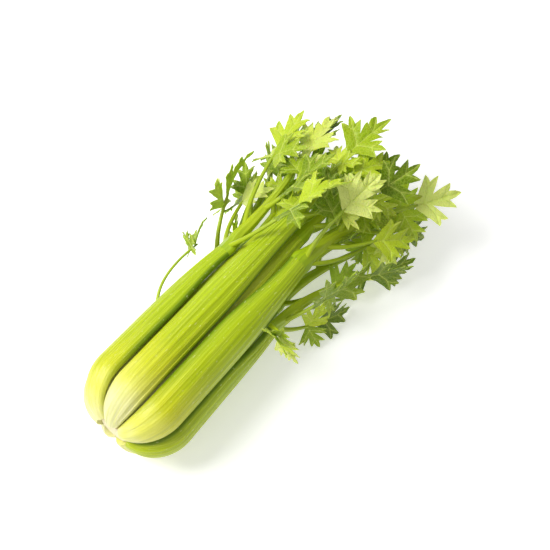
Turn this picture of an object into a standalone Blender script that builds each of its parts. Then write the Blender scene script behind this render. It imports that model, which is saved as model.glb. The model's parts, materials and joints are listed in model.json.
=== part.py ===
# Head of celery lying on its side, with the cut root towards -X and the leaves towards +X.
# It is modelled round its own long axis, with the cut face of the root at x = 0, and placed at the end.
import math
import random

import bmesh
import bpy
from mathutils import Matrix, Vector
from mathutils.bvhtree import BVHTree

MM = 0.001

# Driving dimensions
AXIS_HEIGHT = 47.2 * MM  # the long axis above the surface that the head lies on
OUTER_RADIUS = 46.0 * MM  # middle of the outer stalks' thickness, at the bulge
MIDDLE_RADIUS = 33.0 * MM
HEART_RADIUS = 20.5 * MM
RIB_HEIGHT = 0.55 * MM
BLADE = 0.8 * MM  # thickness of a leaf
JOINT_GAP = 0.4 * MM  # between a stalk's top and the leaf that goes on from it
LEAF_CLEAR = 1.5 * MM  # least distance from one leaf's middle to another's
STEM_CLEAR = 1.0 * MM
TURN_SHARE = 0.3  # share of a stalk's stations in its turn from the root to the side
NECK_FROM = 0.45  # share of the straight stretch where a stalk starts to narrow

# A ring's stalks share these: where they leave the root, where they turn to run along the head,
# their thickness, how far their edges bend in, and their ribs and stations.
RINGS = {
    "outer": {"root_x": 6 * MM, "root_r": 15.6 * MM, "turn_x": 38 * MM, "thick": 10.0 * MM,
              "edge": 3.0 * MM, "sag": 4.6 * MM, "neck": 10.5 * MM, "dip": 0.9 * MM,
              "ribs": 7, "turns": 3, "runs": 5},
    "middle": {"root_x": 18 * MM, "root_r": 13.4 * MM, "turn_x": 46 * MM, "thick": 7.6 * MM,
               "edge": 2.6 * MM, "sag": 3.2 * MM, "neck": 7.0 * MM, "dip": 0.5 * MM,
               "ribs": 4, "turns": 2, "runs": 4},
    "heart": {"root_x": 28 * MM, "root_r": 6.8 * MM, "turn_x": 52 * MM, "thick": 5.6 * MM,
              "edge": 2.2 * MM, "sag": 2.0 * MM, "neck": 4.2 * MM, "dip": 0.0,
              "ribs": 2, "turns": 2, "runs": 4},
}

# One line a stalk: its angle round the head from straight up, towards -Y, half the angle that it
# takes up, its radius, the height of its joint along the head, and how much it flares there.
STALKS = {
    "outer_a": ("outer", -50, 21.5, OUTER_RADIUS, 172 * MM, -7 * MM),
    "outer_b": ("outer", -2, 22.5, OUTER_RADIUS - 2 * MM, 226 * MM, -7 * MM),
    "outer_c": ("outer", 46, 24.0, OUTER_RADIUS + 1 * MM, 202 * MM, -7 * MM),
    "outer_d": ("outer", 98, 23.5, OUTER_RADIUS - 0.5 * MM, 152 * MM, -5 * MM),
    "outer_e": ("outer", 156, 23.5, OUTER_RADIUS, 180 * MM, -4 * MM),
    "outer_f": ("outer", 204.5, 23.5, OUTER_RADIUS, 190 * MM, -4 * MM),
    "outer_g": ("outer", 257, 23.0, OUTER_RADIUS, 172 * MM, -6 * MM),
    "middle_a": ("middle", -33, 27.0, MIDDLE_RADIUS, 206 * MM, -6.5 * MM),
    "middle_b": ("middle", 25, 27.0, MIDDLE_RADIUS, 222 * MM, -6.5 * MM),
    "middle_c": ("middle", 82, 26.0, MIDDLE_RADIUS, 200 * MM, -6.5 * MM),
    "middle_d": ("middle", 140, 27.0, MIDDLE_RADIUS, 212 * MM, -6.5 * MM),
    "middle_e": ("middle", 199, 27.0, MIDDLE_RADIUS, 204 * MM, -6.5 * MM),
    "middle_f": ("middle", 264, 27.0, MIDDLE_RADIUS, 208 * MM, -6.5 * MM),
    "heart_a": ("heart", 15, 36.0, HEART_RADIUS, 226 * MM, -4.5 * MM),
    "heart_b": ("heart", 105, 36.0, HEART_RADIUS, 214 * MM, -4.5 * MM),
    "heart_c": ("heart", 195, 36.0, HEART_RADIUS, 228 * MM, -4.5 * MM),
    "heart_d": ("heart", 285, 36.0, HEART_RADIUS, 218 * MM, -4.5 * MM),
}

# One line a leaf: the length of its main rib, how far that leans out from the head and sideways
# round it, as shares of its length, the size of its leaflets and how many it has at the tip. Then its
# side branches: how far up the rib each starts, its side, its length, its lean off the rib and
# outwards, and its leaflets.
LEAVES = {
    "outer_a": (112 * MM, 0.22, 0.06, 42 * MM, 3, (
        (0.03, 1, 80 * MM, 1.15, 0.12, 3), (0.04, -1, 70 * MM, 0.60, 0.20, 3),
        (0.22, -1, 84 * MM, 0.15, 0.35, 3), (0.45, 1, 44 * MM, 0.90, 0.10, 3))),
    "outer_b": (72 * MM, 0.34, 0.05, 42 * MM, 3, (
        (0.05, 1, 46 * MM, 0.80, 0.30, 3), (0.08, -1, 46 * MM, 0.60, 0.40, 3),
        (0.50, 1, 32 * MM, 0.70, 0.30, 1))),
    "outer_c": (104 * MM, 0.36, 0.28, 44 * MM, 3, (
        (0.03, 1, 72 * MM, 0.50, 0.10, 3), (0.05, -1, 54 * MM, 0.50, 0.60, 3),
        (0.38, -1, 52 * MM, 0.60, 0.40, 3), (0.50, 1, 44 * MM, 0.70, 0.10, 3),
        (0.22, 1, 46 * MM, 0.55, 0.55, 1))),
    "outer_d": (104 * MM, 0.44, 0.10, 42 * MM, 3, (
        (0.04, 1, 44 * MM, 0.50, 0.70, 3), (0.10, -1, 52 * MM, 0.50, 0.50, 3),
        (0.40, 1, 44 * MM, 0.80, 0.30, 1), (0.55, -1, 40 * MM, 0.70, 0.30, 1))),
    "outer_e": (94 * MM, -0.06, -0.50, 40 * MM, 3, (
        (0.06, -1, 54 * MM, 0.80, 0.00, 1), (0.50, 1, 34 * MM, 0.60, -0.30, 1))),
    "outer_f": (86 * MM, -0.06, 0.50, 40 * MM, 3, (
        (0.06, 1, 54 * MM, 0.80, 0.00, 1), (0.50, -1, 34 * MM, 0.60, -0.30, 1))),
    "outer_g": (104 * MM, 0.36, 0.00, 42 * MM, 3, (
        (0.03, 1, 58 * MM, 0.70, 0.50, 3), (0.06, -1, 46 * MM, 0.70, 0.30, 3),
        (0.48, 1, 40 * MM, 0.70, 0.40, 3),
        (0.28, -1, 50 * MM, 0.40, 0.60, 1))),
    "middle_a": (88 * MM, 0.34, -0.06, 40 * MM, 3, (
        (0.25, -1, 40 * MM, 0.60, 0.50, 3), (0.50, 1, 34 * MM, 0.60, 0.40, 1))),
    "middle_b": (74 * MM, 0.26, 0.10, 40 * MM, 3, (
        (0.20, 1, 42 * MM, 0.60, 0.60, 1), (0.45, -1, 34 * MM, 0.60, 0.50, 1))),
    "middle_c": (96 * MM, 0.46, 0.04, 40 * MM, 3, (
        (0.25, -1, 40 * MM, 0.60, 0.50, 3), (0.50, 1, 36 * MM, 0.70, 0.40, 3))),
    "middle_d": (100 * MM, 0.24, -0.10, 34 * MM, 3, ((0.40, 1, 40 * MM, 0.60, 0.30, 1),)),
    "middle_e": (92 * MM, 0.10, 0.20, 38 * MM, 3, ((0.40, -1, 34 * MM, 0.60, 0.20, 1),)),
    "middle_f": (88 * MM, 0.46, 0.00, 40 * MM, 3, ((0.30, 1, 38 * MM, 0.60, 0.40, 1),)),
    "heart_a": (68 * MM, 0.26, 0.10, 38 * MM, 2, ()),
    "heart_b": (76 * MM, 0.40, 0.10, 38 * MM, 3, ()),
    "heart_c": (62 * MM, 0.20, 0.00, 36 * MM, 2, ()),
    "heart_d": (76 * MM, 0.40, 0.00, 38 * MM, 2, ()),
}

# Slender shoots that come out between two outer stalks: the angle and the height along the head where
# one starts, where its tip is and how far that stands from the axis, the size and way of its leaflets.
SHOOTS = {
    "shoot_a": (-76.5, 104 * MM, -70, 166 * MM, OUTER_RADIUS + 9 * MM, 26 * MM, (1.0, 0.7)),
    "shoot_d": (71.5, 150 * MM, 60, 140 * MM, OUTER_RADIUS + 13 * MM, 31 * MM, (-0.5, 1.0)),
}
SHOOT_RADII = (1.3 * MM, 1.0 * MM)
SHOOT_POINTS = 6
RIB_RADII = {"outer": (7.2 * MM, 2.0 * MM), "middle": (5.0 * MM, 1.6 * MM), "heart": (3.4 * MM, 1.4 * MM)}
ROUNDNESS = {"outer": 1, "middle": 0, "heart": 0, "shoot": 0}  # of main ribs, as a bevel resolution
BRANCH_RADII = (2.3 * MM, 1.3 * MM)
RIB_POINTS = 6
COLLAR = 2 * MM  # a main rib goes straight on for this far
BRANCH_POINTS = 4
TRIES = 60
LIGHTWARD = 0.5  # how far the leaves of the upper stalks turn their faces up
LOWEST_LIT = -0.3

# A leaflet of unit length has three lobes round a centre. One line a lobe: its direction off the
# midrib, its reach, and its teeth and notches as angle off the lobe and share of the reach.
LEAF_CENTRE = Vector((0.0, 0.2))
TEETH = ((-22, 0.80), (-11, 0.70), (0, 1.0), (11, 0.70), (22, 0.80))
FINE_TEETH = ((-26, 0.62), (-21, 0.58), (-15, 0.86), (-8, 0.74), (0, 1.0),
              (8, 0.74), (15, 0.86), (21, 0.58), (26, 0.62))
LOBES = ((60, 0.62, TEETH), (0, 0.80, FINE_TEETH), (-60, 0.62, TEETH))
SMALL_LOBES = ((60, 0.58, ((-14, 0.86), (0, 0.74), (14, 0.94))), (0, 0.80, TEETH),
               (-60, 0.58, ((-14, 0.94), (0, 0.74), (14, 0.86))))
SINUS = 0.30  # distance of the deep cuts between lobes from the centre
HUB = 0.48  # share of a lobe's reach where its teeth's ribs part
LARGE_LEAFLET = 44 * MM  # a leaflet over this length has more teeth
FOOT = 0.045  # half the leaflet's width at its root

# Outline of the cut root, in millimetres along the head and out from its axis.
ROOT_PROFILE = ((4.0, 0), (4.0, 11.6), (5.0, 13.0), (11.8, 14.8), (13.6, 12.8), (22.4, 12.6), (24.6, 6.2),
                (31.4, 6.0), (33.0, 0))

STALK_GREEN = (0.50, 0.62, 0.06, 1.0)
HEART_GREEN = (0.66, 0.70, 0.20, 1.0)
LEAF_GREEN = (0.18, 0.34, 0.03, 1.0)
ROOT_CREAM = (0.72, 0.62, 0.38, 1.0)


def clear_scene():
    for obj in list(bpy.data.objects):
        bpy.data.objects.remove(obj)


def make_material(name, colour, roughness):
    material = bpy.data.materials.new(name)
    material.use_nodes = True
    shader = material.node_tree.nodes["Principled BSDF"]
    shader.inputs["Base Color"].default_value = colour
    shader.inputs["Roughness"].default_value = roughness
    shader.inputs["Metallic"].default_value = 0.0
    return material


def add_object(name, mesh, material, collection):
    obj = bpy.data.objects.new(name, mesh)
    mesh.materials.append(material)
    collection.objects.link(obj)
    return obj


def smooth(share):
    share = min(1.0, max(0.0, share))
    return share * share * (3 - 2 * share)


def around(x, radius, angle):
    """A point from its place along the long axis, its distance from it and its angle from up."""
    return Vector((x, -radius * math.sin(angle), radius * math.cos(angle)))


def stalk_middle(stalk, share):
    """Place along the head and radius of the middle of a stalk's thickness, at a share of its stations."""
    ring, _, _, radius, joint_x, flare = stalk
    shape = RINGS[ring]
    if share < TURN_SHARE:
        turn = share / TURN_SHARE * math.pi / 2
        x = shape["root_x"] + (shape["turn_x"] - shape["root_x"]) * (1 - math.cos(turn))
        return x, shape["root_r"] + (radius - shape["root_r"]) * math.sin(turn)
    run = (share - TURN_SHARE) / (1 - TURN_SHARE)
    x = shape["turn_x"] + (joint_x - shape["turn_x"]) * run
    return x, radius - shape["dip"] * math.sin(math.pi * run) + flare * run**3


def stalk_frame(stalk, share):
    """The middle at that share, with the direction along the stalk there, both in the (x, radius) plane."""
    step = 0.002
    x, radius = stalk_middle(stalk, share)
    before = Vector(stalk_middle(stalk, max(0.0, share - step)))
    after = Vector(stalk_middle(stalk, min(1.0, share + step)))
    return x, radius, (after - before).normalized()


def stalk_half_angle(stalk, share, radius):
    ring, _, half, _, _, _ = stalk
    run = (share - TURN_SHARE) / (1 - TURN_SHARE)
    narrowing = smooth((run - NECK_FROM) / (1 - NECK_FROM))
    return math.radians(half) * (1 - narrowing) + RINGS[ring]["neck"] / radius * narrowing


def stalk_section(stalk, share, ribs):
    """Points round a stalk's crescent: along its ribbed back, then back along its hollow inner side."""
    shape = RINGS[stalk[0]]
    x, radius, along = stalk_frame(stalk, share)
    half = stalk_half_angle(stalk, share, radius)
    outward = Vector((-along.y, along.x))
    run = max(0.0, (share - TURN_SHARE) / (1 - TURN_SHARE))
    narrow = half * radius / (math.radians(stalk[2]) * stalk[3])
    sag = shape["sag"] * min(1.0, narrow) ** 1.5
    thick = shape["thick"] * (1 - 0.16 * run)
    points = []
    for count, side in ((2 * ribs, 1), (ribs, -1)):
        for i in range(count + 1):
            u = side * (2 * i / count - 1)
            depth = shape["edge"] + (thick - shape["edge"]) * (1 - abs(u) ** 2.4)
            height = side * depth / 2 - sag * u * u
            if side > 0:
                height += RIB_HEIGHT * (0.5 if i % 2 else -0.5)
            angle = math.radians(stalk[1]) + u * half
            place = around(x + outward.x * height, radius + outward.y * height, angle)
            place.z = max(place.z, -AXIS_HEIGHT)
            points.append(place)
    return points


def stalk_mesh(name, stalk, ribs, turns, runs):
    """A loft through a stalk's sections, closed by a ladder of faces across each end."""
    shares = [TURN_SHARE * i / turns for i in range(turns)]
    shares += [TURN_SHARE + (1 - TURN_SHARE) * i / runs for i in range(runs + 1)]
    form = bmesh.new()
    rings = [[form.verts.new(p) for p in stalk_section(stalk, share, ribs)] for share in shares]
    size = len(rings[0])
    for low, high in zip(rings, rings[1:]):
        for i in range(size):
            j = (i + 1) % size
            form.faces.new((low[i], low[j], high[j], high[i]))
    for ring in (rings[0], rings[-1]):
        for i in range(ribs):
            inner, after = ring[-1 - i], ring[-2 - i]
            back = ring[2 * i:2 * i + 3]
            form.faces.new((inner, back[0], back[1]))
            form.faces.new((inner, back[1], after))
            form.faces.new((after, back[1], back[2]))
    bmesh.ops.recalc_face_normals(form, faces=form.faces)
    bmesh.ops.triangulate(form, faces=form.faces)
    mesh = bpy.data.meshes.new(name)
    form.to_mesh(mesh)
    form.free()
    return mesh


def joint_frame(stalk):
    """The middle of a stalk's top, the way on from it, and the ways out from the head and round it."""
    x, radius, along = stalk_frame(stalk, 1.0)
    angle = math.radians(stalk[1])
    centre = around(x, radius, angle)
    forward = Vector((along.x, 0, 0)) + around(0, along.y, angle)
    outward = Vector((-along.y, 0, 0)) + around(0, along.x, angle)
    sideways = around(0, 1, angle + math.pi / 2)
    return centre, forward.normalized(), outward.normalized(), sideways


def bend(start, through, end, count):
    """Points along a quadratic arc."""
    points = []
    for i in range(count):
        t = i / (count - 1)
        points.append(start * (1 - t) ** 2 + through * (2 * t * (1 - t)) + end * t * t)
    return points


def along_line(points, share):
    """The point at a share of a line's length, and the direction there."""
    steps = [after - before for before, after in zip(points, points[1:])]
    left = share * sum(step.length for step in steps)
    for point, step in zip(points, steps):
        if left <= step.length or step is steps[-1]:
            return point + step * min(1.0, left / step.length), step.normalized()
        left -= step.length


def samples(points, radii):
    """Closely spaced points and radii along a stem, for keeping others clear of it."""
    found = []
    for i in range(len(points) - 1):
        steps = max(1, math.ceil((points[i + 1] - points[i]).length / (2.5 * MM)))
        for k in range(steps):
            t = k / steps
            found.append((points[i].lerp(points[i + 1], t), radii[i] * (1 - t) + radii[i + 1] * t))
    found.append((points[-1], radii[-1]))
    return found


def leaflet_outline(lobes):
    """Outline points of a unit leaflet with the lobe that each belongs to, and the lobes' hubs."""
    outline, hubs = [(Vector((-FOOT, 0.0)), 0)], []
    for k, (turn, reach, teeth) in enumerate(lobes):
        hub_way = Vector((-math.sin(math.radians(turn)), math.cos(math.radians(turn))))
        hubs.append(LEAF_CENTRE + hub_way * HUB * reach)
        for off, share in teeth:
            angle = math.radians(turn - off)
            outline.append((LEAF_CENTRE + Vector((-math.sin(angle), math.cos(angle))) * reach * share, k))
        if k < 2:
            angle = math.radians((turn + lobes[k + 1][0]) / 2)
            outline.append((LEAF_CENTRE + Vector((-math.sin(angle), math.cos(angle))) * SINUS, k + 0.5))
    outline.append((Vector((FOOT, 0.0)), 2))
    return outline, hubs


def leaflet_faces(outline):
    """Triangles of a leaflet: its outline's points come first, then its centre, then its three hubs."""
    count = len(outline)
    centre = count
    faces = []
    for i in range(count - 1):
        lobe, after = outline[i][1], outline[i + 1][1]
        faces.append((i, i + 1, centre + 1 + int(after if lobe % 1 else lobe)))
    cuts = [0] + [i for i in range(count) if outline[i][1] % 1] + [count - 1]
    for k in range(3):
        faces.append((centre, cuts[k], centre + 1 + k))
        faces.append((centre, centre + 1 + k, cuts[k + 1]))
    faces.append((centre, count - 1, 0))
    return faces


def leaflet_rise(place, form):
    """How far a unit leaflet stands off its plane: folded up from the midrib, drooping and rippled."""
    from_centre = place - LEAF_CENTRE
    ripple = math.sin(form["waves"] * math.atan2(from_centre.x, from_centre.y) + form["phase"])
    return (form["fold"] * abs(place.x) - form["droop"] * place.y**2
            + form["ripple"] * ripple * from_centre.length_squared)


def leaflet_points(form, lobes):
    """The middle surface of a leaflet, in its place."""
    outline, hubs = leaflet_outline(lobes)
    flat = [p for p, _ in outline] + [LEAF_CENTRE] + hubs
    matrix, size = form["matrix"], form["size"]
    wide = size * form["wide"]
    placed = [matrix @ Vector((p.x * wide, p.y * size, leaflet_rise(p, form) * size)) for p in flat]
    return placed, outline


def leaflet_mesh(name, form, lobes):
    """A blade with a top and an underside cut into triangles alike, and a rim between them."""
    points, outline = leaflet_points(form, lobes)
    half = form["matrix"].to_3x3() @ Vector((0, 0, BLADE / 2))
    faces = leaflet_faces(outline)
    count, rim = len(points), len(outline)
    solid = [p + half for p in points] + [p - half for p in points]
    skin = [tuple(reversed(f)) for f in faces] + [tuple(i + count for i in f) for f in faces]
    for i in range(rim):
        j = (i + 1) % rim
        skin += [(i, j, j + count), (i, j + count, i + count)]
    mesh = bpy.data.meshes.new(name)
    mesh.from_pydata(solid, [], skin)
    form_mesh = bmesh.new()
    form_mesh.from_mesh(mesh)
    bmesh.ops.recalc_face_normals(form_mesh, faces=form_mesh.faces)
    form_mesh.to_mesh(mesh)
    form_mesh.free()
    return mesh


class Foliage:
    """Grows the leaves one after another and keeps each stem and leaflet clear of those before it."""

    def __init__(self):
        self.stalks = []
        for stalk in STALKS.values():
            shape = RINGS[stalk[0]]
            mesh = stalk_mesh("guide", stalk, shape["ribs"], shape["turns"], shape["runs"])
            faces = [tuple(p.vertices) for p in mesh.polygons]
            self.stalks.append(BVHTree.FromPolygons([v.co.copy() for v in mesh.vertices], faces))
            bpy.data.meshes.remove(mesh)
        self.stems = {}
        self.blades = []

    def near_stalk(self, place, gap):
        return any(tree.find_nearest(place, gap)[0] is not None for tree in self.stalks)

    def stem_is_clear(self, owner, points, radii, skip):
        mine = samples(points, radii)[skip:]
        for place, radius in mine:
            if place.z < radius + BLADE / 2 - AXIS_HEIGHT or self.near_stalk(place, radius + STEM_CLEAR):
                return False
        for other, lines in self.stems.items():
            for line in lines:
                begin = 5 if other == owner else 0
                for place, radius in mine[begin:]:
                    for spot, thick in line:
                        if (place - spot).length < radius + thick + STEM_CLEAR:
                            return False
        return True

    def blade_is_clear(self, stem, whole, free, points):
        """Tests a leaflet's whole surface, or all but its root where it may touch those of its own stem."""
        if min(p.z for p in points) < LEAF_CLEAR - AXIS_HEIGHT:
            return False
        for stalk in self.stalks:
            if stalk.overlap(whole):
                return False
            if any(stalk.find_nearest(p, LEAF_CLEAR)[0] is not None for p in points):
                return False
        for lines in self.stems.values():
            for line in lines:
                if line is stem:
                    continue
                for place, radius in line:
                    if whole.find_nearest(place, radius + LEAF_CLEAR)[0] is not None:
                        return False
        for other_stem, other_whole, other_free, spots in self.blades:
            sibling = other_stem is stem
            mine, other = (free, other_free) if sibling else (whole, other_whole)
            if other.overlap(mine):
                return False
            if any(other.find_nearest(p, LEAF_CLEAR)[0] is not None for p in points[sibling * 2:]):
                return False
            if any(mine.find_nearest(p, LEAF_CLEAR)[0] is not None for p in spots[sibling * 2:]):
                return False
        return True

    def find_stem(self, owner, key, line_towards, radii, skip):
        """The first line that is clear of the rest, its end strayed a little more each time."""
        draw = random.Random(key)
        for attempt in range(TRIES):
            reach = 1.0 * attempt / TRIES
            points = line_towards(Vector([draw.uniform(-1, 1) * reach for _ in range(3)]))
            if self.stem_is_clear(owner, points, radii, skip):
                return points
        print("no clear way for", key)
        return None if "branch" in key else points

    def add_stem(self, owner, points, radii):
        line = samples(points, radii)
        self.stems.setdefault(owner, []).append(line)
        return line

    def add_leaflet(self, stem, root, way, face, size, key):
        """Tries a leaflet at a stem's root point, turned a little more each time until it is clear."""
        draw = random.Random(key)
        for attempt in range(TRIES):
            stray = 0.15 + 1.1 * attempt / TRIES
            shrink = 1 - 0.35 * attempt / TRIES
            forward = (way + Vector([draw.uniform(-1, 1) * stray for _ in range(3)]) * 0.8).normalized()
            upward = (face + Vector([draw.uniform(-1, 1) * stray for _ in range(3)])).normalized()
            across = forward.cross(upward).normalized()
            upward = across.cross(forward)
            matrix = Matrix((across, forward, upward)).transposed().to_4x4()
            matrix.translation = root
            actual = size * shrink * draw.uniform(0.92, 1.08)
            lobes = LOBES if actual > LARGE_LEAFLET else SMALL_LOBES
            form = {"matrix": matrix, "size": actual, "wide": draw.uniform(0.92, 1.12),
                    "fold": draw.uniform(0.10, 0.34), "droop": draw.uniform(0.02, 0.34),
                    "ripple": draw.uniform(0.05, 0.16), "waves": draw.choice((3, 4, 5)),
                    "phase": draw.uniform(0, 6.28), "lobes": lobes}
            points, outline = leaflet_points(form, lobes)
            faces = leaflet_faces(outline)
            root_points = {0, len(outline) - 1}
            whole = BVHTree.FromPolygons(points, faces)
            free = BVHTree.FromPolygons(points, [f for f in faces if not root_points & set(f)])
            last = len(outline) - 1
            spots = [points[0], points[last]] + points[1:last] + points[last + 1:]
            for i in range(1, last - 1):
                steps = math.ceil((points[i + 1] - points[i]).length / (2.5 * MM))
                spots += [points[i].lerp(points[i + 1], k / steps) for k in range(1, steps)]
            if self.blade_is_clear(stem, whole, free, spots):
                self.blades.append((stem, whole, free, spots))
                return form
        return None


def grow_leaf(foliage, name):
    """Stems and leaflets of the leaf at the top of a stalk."""
    length, lean_out, lean_side, size, tip_count, branches = LEAVES[name]
    ring = STALKS[name][0]
    centre, forward, outward, sideways = joint_frame(STALKS[name])
    start = centre + forward * JOINT_GAP
    aim = forward + outward * lean_out + sideways * lean_side
    wide, thin = RIB_RADII[ring]
    wide = min(wide, start.z + AXIS_HEIGHT - BLADE)
    radii = [wide] + [thin + (wide - thin) * (1 - i / (RIB_POINTS - 1)) ** 1.3 for i in range(RIB_POINTS)]
    collar = start + forward * COLLAR

    def rib_towards(stray):
        arc = bend(collar, start + forward * length * 0.45, start + (aim + stray) * length, RIB_POINTS)
        return [start] + arc

    rib = foliage.find_stem(name, f"{name} rib", rib_towards, radii, 5)
    stems = [(rib, radii)]
    tips = [(foliage.add_stem(name, rib, radii), rib, tip_count, sideways, outward, "tip")]
    step = (BRANCH_RADII[1] - BRANCH_RADII[0]) / (BRANCH_POINTS - 1)
    thick = [BRANCH_RADII[0] + step * i for i in range(BRANCH_POINTS)]
    for number, (share, side, reach, off, lift, count) in enumerate(branches):
        root, way = along_line(rib, share)
        first = (way * 0.5 + sideways * side * off * 1.4 + outward * lift).normalized()

        def branch_towards(stray):
            turned = (way + sideways * side * off + outward * lift + stray).normalized()
            return bend(root, root + first * reach * 0.4, root + turned * reach, BRANCH_POINTS)

        line = foliage.find_stem(name, f"{name} branch {number}", branch_towards, thick, 3)
        if line:
            stems.append((line, thick))
            tips.append((foliage.add_stem(name, line, thick), line, count, sideways, outward, str(number)))
    return stems, tips, size


def grow_shoot(foliage, name):
    """A slender shoot: its stem rises from between two stalks, and arches to its tip."""
    angle, start_x, end_angle, end_x, end_radius, size, (ahead, out) = SHOOTS[name]
    angle, end_angle = math.radians(angle), math.radians(end_angle)
    start = around(start_x, OUTER_RADIUS - 3 * MM, angle)
    middle = around(start_x * 0.7 + end_x * 0.3, end_radius + 7 * MM, angle)
    points = bend(start, middle, around(end_x, end_radius, end_angle), SHOOT_POINTS)
    step = (SHOOT_RADII[1] - SHOOT_RADII[0]) / (SHOOT_POINTS - 1)
    radii = [SHOOT_RADII[0] + step * i for i in range(SHOOT_POINTS)]
    line = foliage.add_stem(name, points, radii)
    end, way = along_line(points, 1.0)
    outward = around(0, 1, end_angle)
    forward = (Vector((ahead, 0, 0)) + outward * out).normalized()
    across = around(0, 1, end_angle + math.pi / 2)
    leaflets = []
    for side in (0, 1, -1):
        heading = (forward + across * side * 1.1).normalized()
        root = end - way * (2.5 * MM if side == 0 else 7 * MM)
        face = across.cross(outward) + outward * 0.3
        form = foliage.add_leaflet(line, root, heading, face, size, f"{name} {side}")
        if form:
            leaflets.append(form)
    return (points, radii), leaflets


def grow_leaflets(foliage, name, tips, size):
    """The leaflets at the ends of a leaf's stems: one at the tip, and up to two more below it."""
    leaflets = []
    for stem, line, count, sideways, outward, key in tips:
        end, way = along_line(line, 1.0)
        across = way.cross(outward).normalized()
        face = across.cross(way).normalized() + Vector((0, 0, LIGHTWARD if outward.z > LOWEST_LIT else 0))
        spots = [(end - way * 2.5 * MM, way, 1.0)]
        if count > 1:
            low = end - way * (15 * MM if key == "tip" else 12 * MM)
            for side in (1, -1)[:count - 1]:
                spots.append((low, (way * 0.35 + across * side).normalized(), 0.84))
        for number, (root, forward, share) in enumerate(spots):
            form = foliage.add_leaflet(stem, root, forward, face, size * share, f"{name} {key} {number}")
            if form:
                leaflets.append(form)
    return leaflets


def stem_mesh(name, points, radii, resolution):
    """A tapered tube as a mesh, from a curve with its own radius at each point."""
    curve = bpy.data.curves.new(name, "CURVE")
    curve.dimensions = "3D"
    curve.bevel_depth = 1.0
    curve.bevel_resolution = resolution
    curve.use_fill_caps = True
    spline = curve.splines.new("POLY")
    spline.points.add(len(points) - 1)
    for point, place, radius in zip(spline.points, points, radii):
        point.co = (*place, 1.0)
        point.radius = radius
    tube = bpy.data.objects.new(name, curve)
    bpy.context.scene.collection.objects.link(tube)
    mesh = bpy.data.meshes.new_from_object(tube.evaluated_get(bpy.context.evaluated_depsgraph_get()))
    bpy.data.objects.remove(tube)
    bpy.data.curves.remove(curve)
    form = bmesh.new()
    form.from_mesh(mesh)
    bmesh.ops.remove_doubles(form, verts=form.verts, dist=0.01 * MM)
    bmesh.ops.recalc_face_normals(form, faces=form.faces)
    form.to_mesh(mesh)
    form.free()
    return mesh


def join_leaf(name, stems, leaflets, roundness, material, collection):
    """One body of a leaf's main rib, its branches and its leaflets."""
    repeats = bpy.data.collections.new(name + "_repeats")
    bpy.context.scene.collection.children.link(repeats)
    leaf = add_object(name, stem_mesh(name, *stems[0], roundness), material, collection)
    for number, (points, radii) in enumerate(stems[1:]):
        add_object(f"{name}_branch_{number}", stem_mesh("branch", points, radii, 0), material, repeats)
    for number, form in enumerate(leaflets):
        blade = leaflet_mesh("leaflet", form, form["lobes"])
        add_object(f"{name}_leaflet_{number}", blade, material, repeats)
    union = leaf.modifiers.new("grown together", "BOOLEAN")
    union.operation = "UNION"
    union.operand_type = "COLLECTION"
    union.collection = repeats
    union.solver = "MANIFOLD"
    bpy.context.view_layer.update()
    mesh = bpy.data.meshes.new_from_object(leaf.evaluated_get(bpy.context.evaluated_depsgraph_get()))
    leaf.modifiers.clear()
    leaf.data = mesh
    for obj in list(repeats.objects):
        bpy.data.objects.remove(obj)
    bpy.data.collections.remove(repeats)
    return leaf


def make_root(material, collection):
    """The cut root: a stepped cone that the rings of stalks stand round, turned about the long axis."""
    mesh = bpy.data.meshes.new("root")
    edges = [(i, i + 1) for i in range(len(ROOT_PROFILE) - 1)]
    mesh.from_pydata([(x * MM, 0, r * MM) for x, r in ROOT_PROFILE], edges, [])
    root = add_object("root_plate", mesh, material, collection)
    turn = root.modifiers.new("turned", "SCREW")
    turn.axis = "X"
    turn.steps = turn.render_steps = 16
    turn.use_merge_vertices = True
    turn.merge_threshold = 0.00001
    turn.use_normal_calculate = True
    return root


def place_on_surface(collection):
    """Moves every piece so that the head stands on z = 0 with the middle of its box over the origin."""
    bpy.context.view_layer.update()
    graph = bpy.context.evaluated_depsgraph_get()
    low, high = Vector((1e9,) * 3), Vector((-1e9,) * 3)
    for obj in collection.objects:
        for vertex in obj.evaluated_get(graph).to_mesh().vertices:
            low = Vector(map(min, low, vertex.co))
            high = Vector(map(max, high, vertex.co))
    for obj in collection.objects:
        obj.location = (-(low.x + high.x) / 2, -(low.y + high.y) / 2, AXIS_HEIGHT)


def main():
    clear_scene()
    celery = bpy.data.collections.new("head_of_celery")
    bpy.context.scene.collection.children.link(celery)
    stalk_green = make_material("stalk_green", STALK_GREEN, 0.4)
    heart_green = make_material("heart_green", HEART_GREEN, 0.42)
    leaf_green = make_material("leaf_green", LEAF_GREEN, 0.5)
    root_cream = make_material("root_cream", ROOT_CREAM, 0.7)
    make_root(root_cream, celery)
    for name, stalk in STALKS.items():
        shape = RINGS[stalk[0]]
        mesh = stalk_mesh("stalk_" + name, stalk, shape["ribs"], shape["turns"], shape["runs"])
        add_object("stalk_" + name, mesh, stalk_green if stalk[0] == "outer" else heart_green, celery)
    foliage = Foliage()
    grown = {name: grow_leaf(foliage, name) for name in LEAVES}
    total = 0
    for name, (stems, tips, size) in grown.items():
        leaflets = grow_leaflets(foliage, name, tips, size)
        total += len(leaflets)
        join_leaf("leaf_" + name, stems, leaflets, ROUNDNESS[STALKS[name][0]], leaf_green, celery)
    for name in SHOOTS:
        stem, leaflets = grow_shoot(foliage, name)
        total += len(leaflets)
        join_leaf(name, [stem], leaflets, ROUNDNESS["shoot"], leaf_green, celery)
    print("leaflets", total)
    place_on_surface(celery)


main()
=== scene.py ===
# Head of celery on its side: fine stalks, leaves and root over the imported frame, with floor, light and camera.
import json
import math
import random

import bmesh
import bpy
import numpy as np
from mathutils import Matrix, Vector
from mathutils.bvhtree import BVHTree

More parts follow.
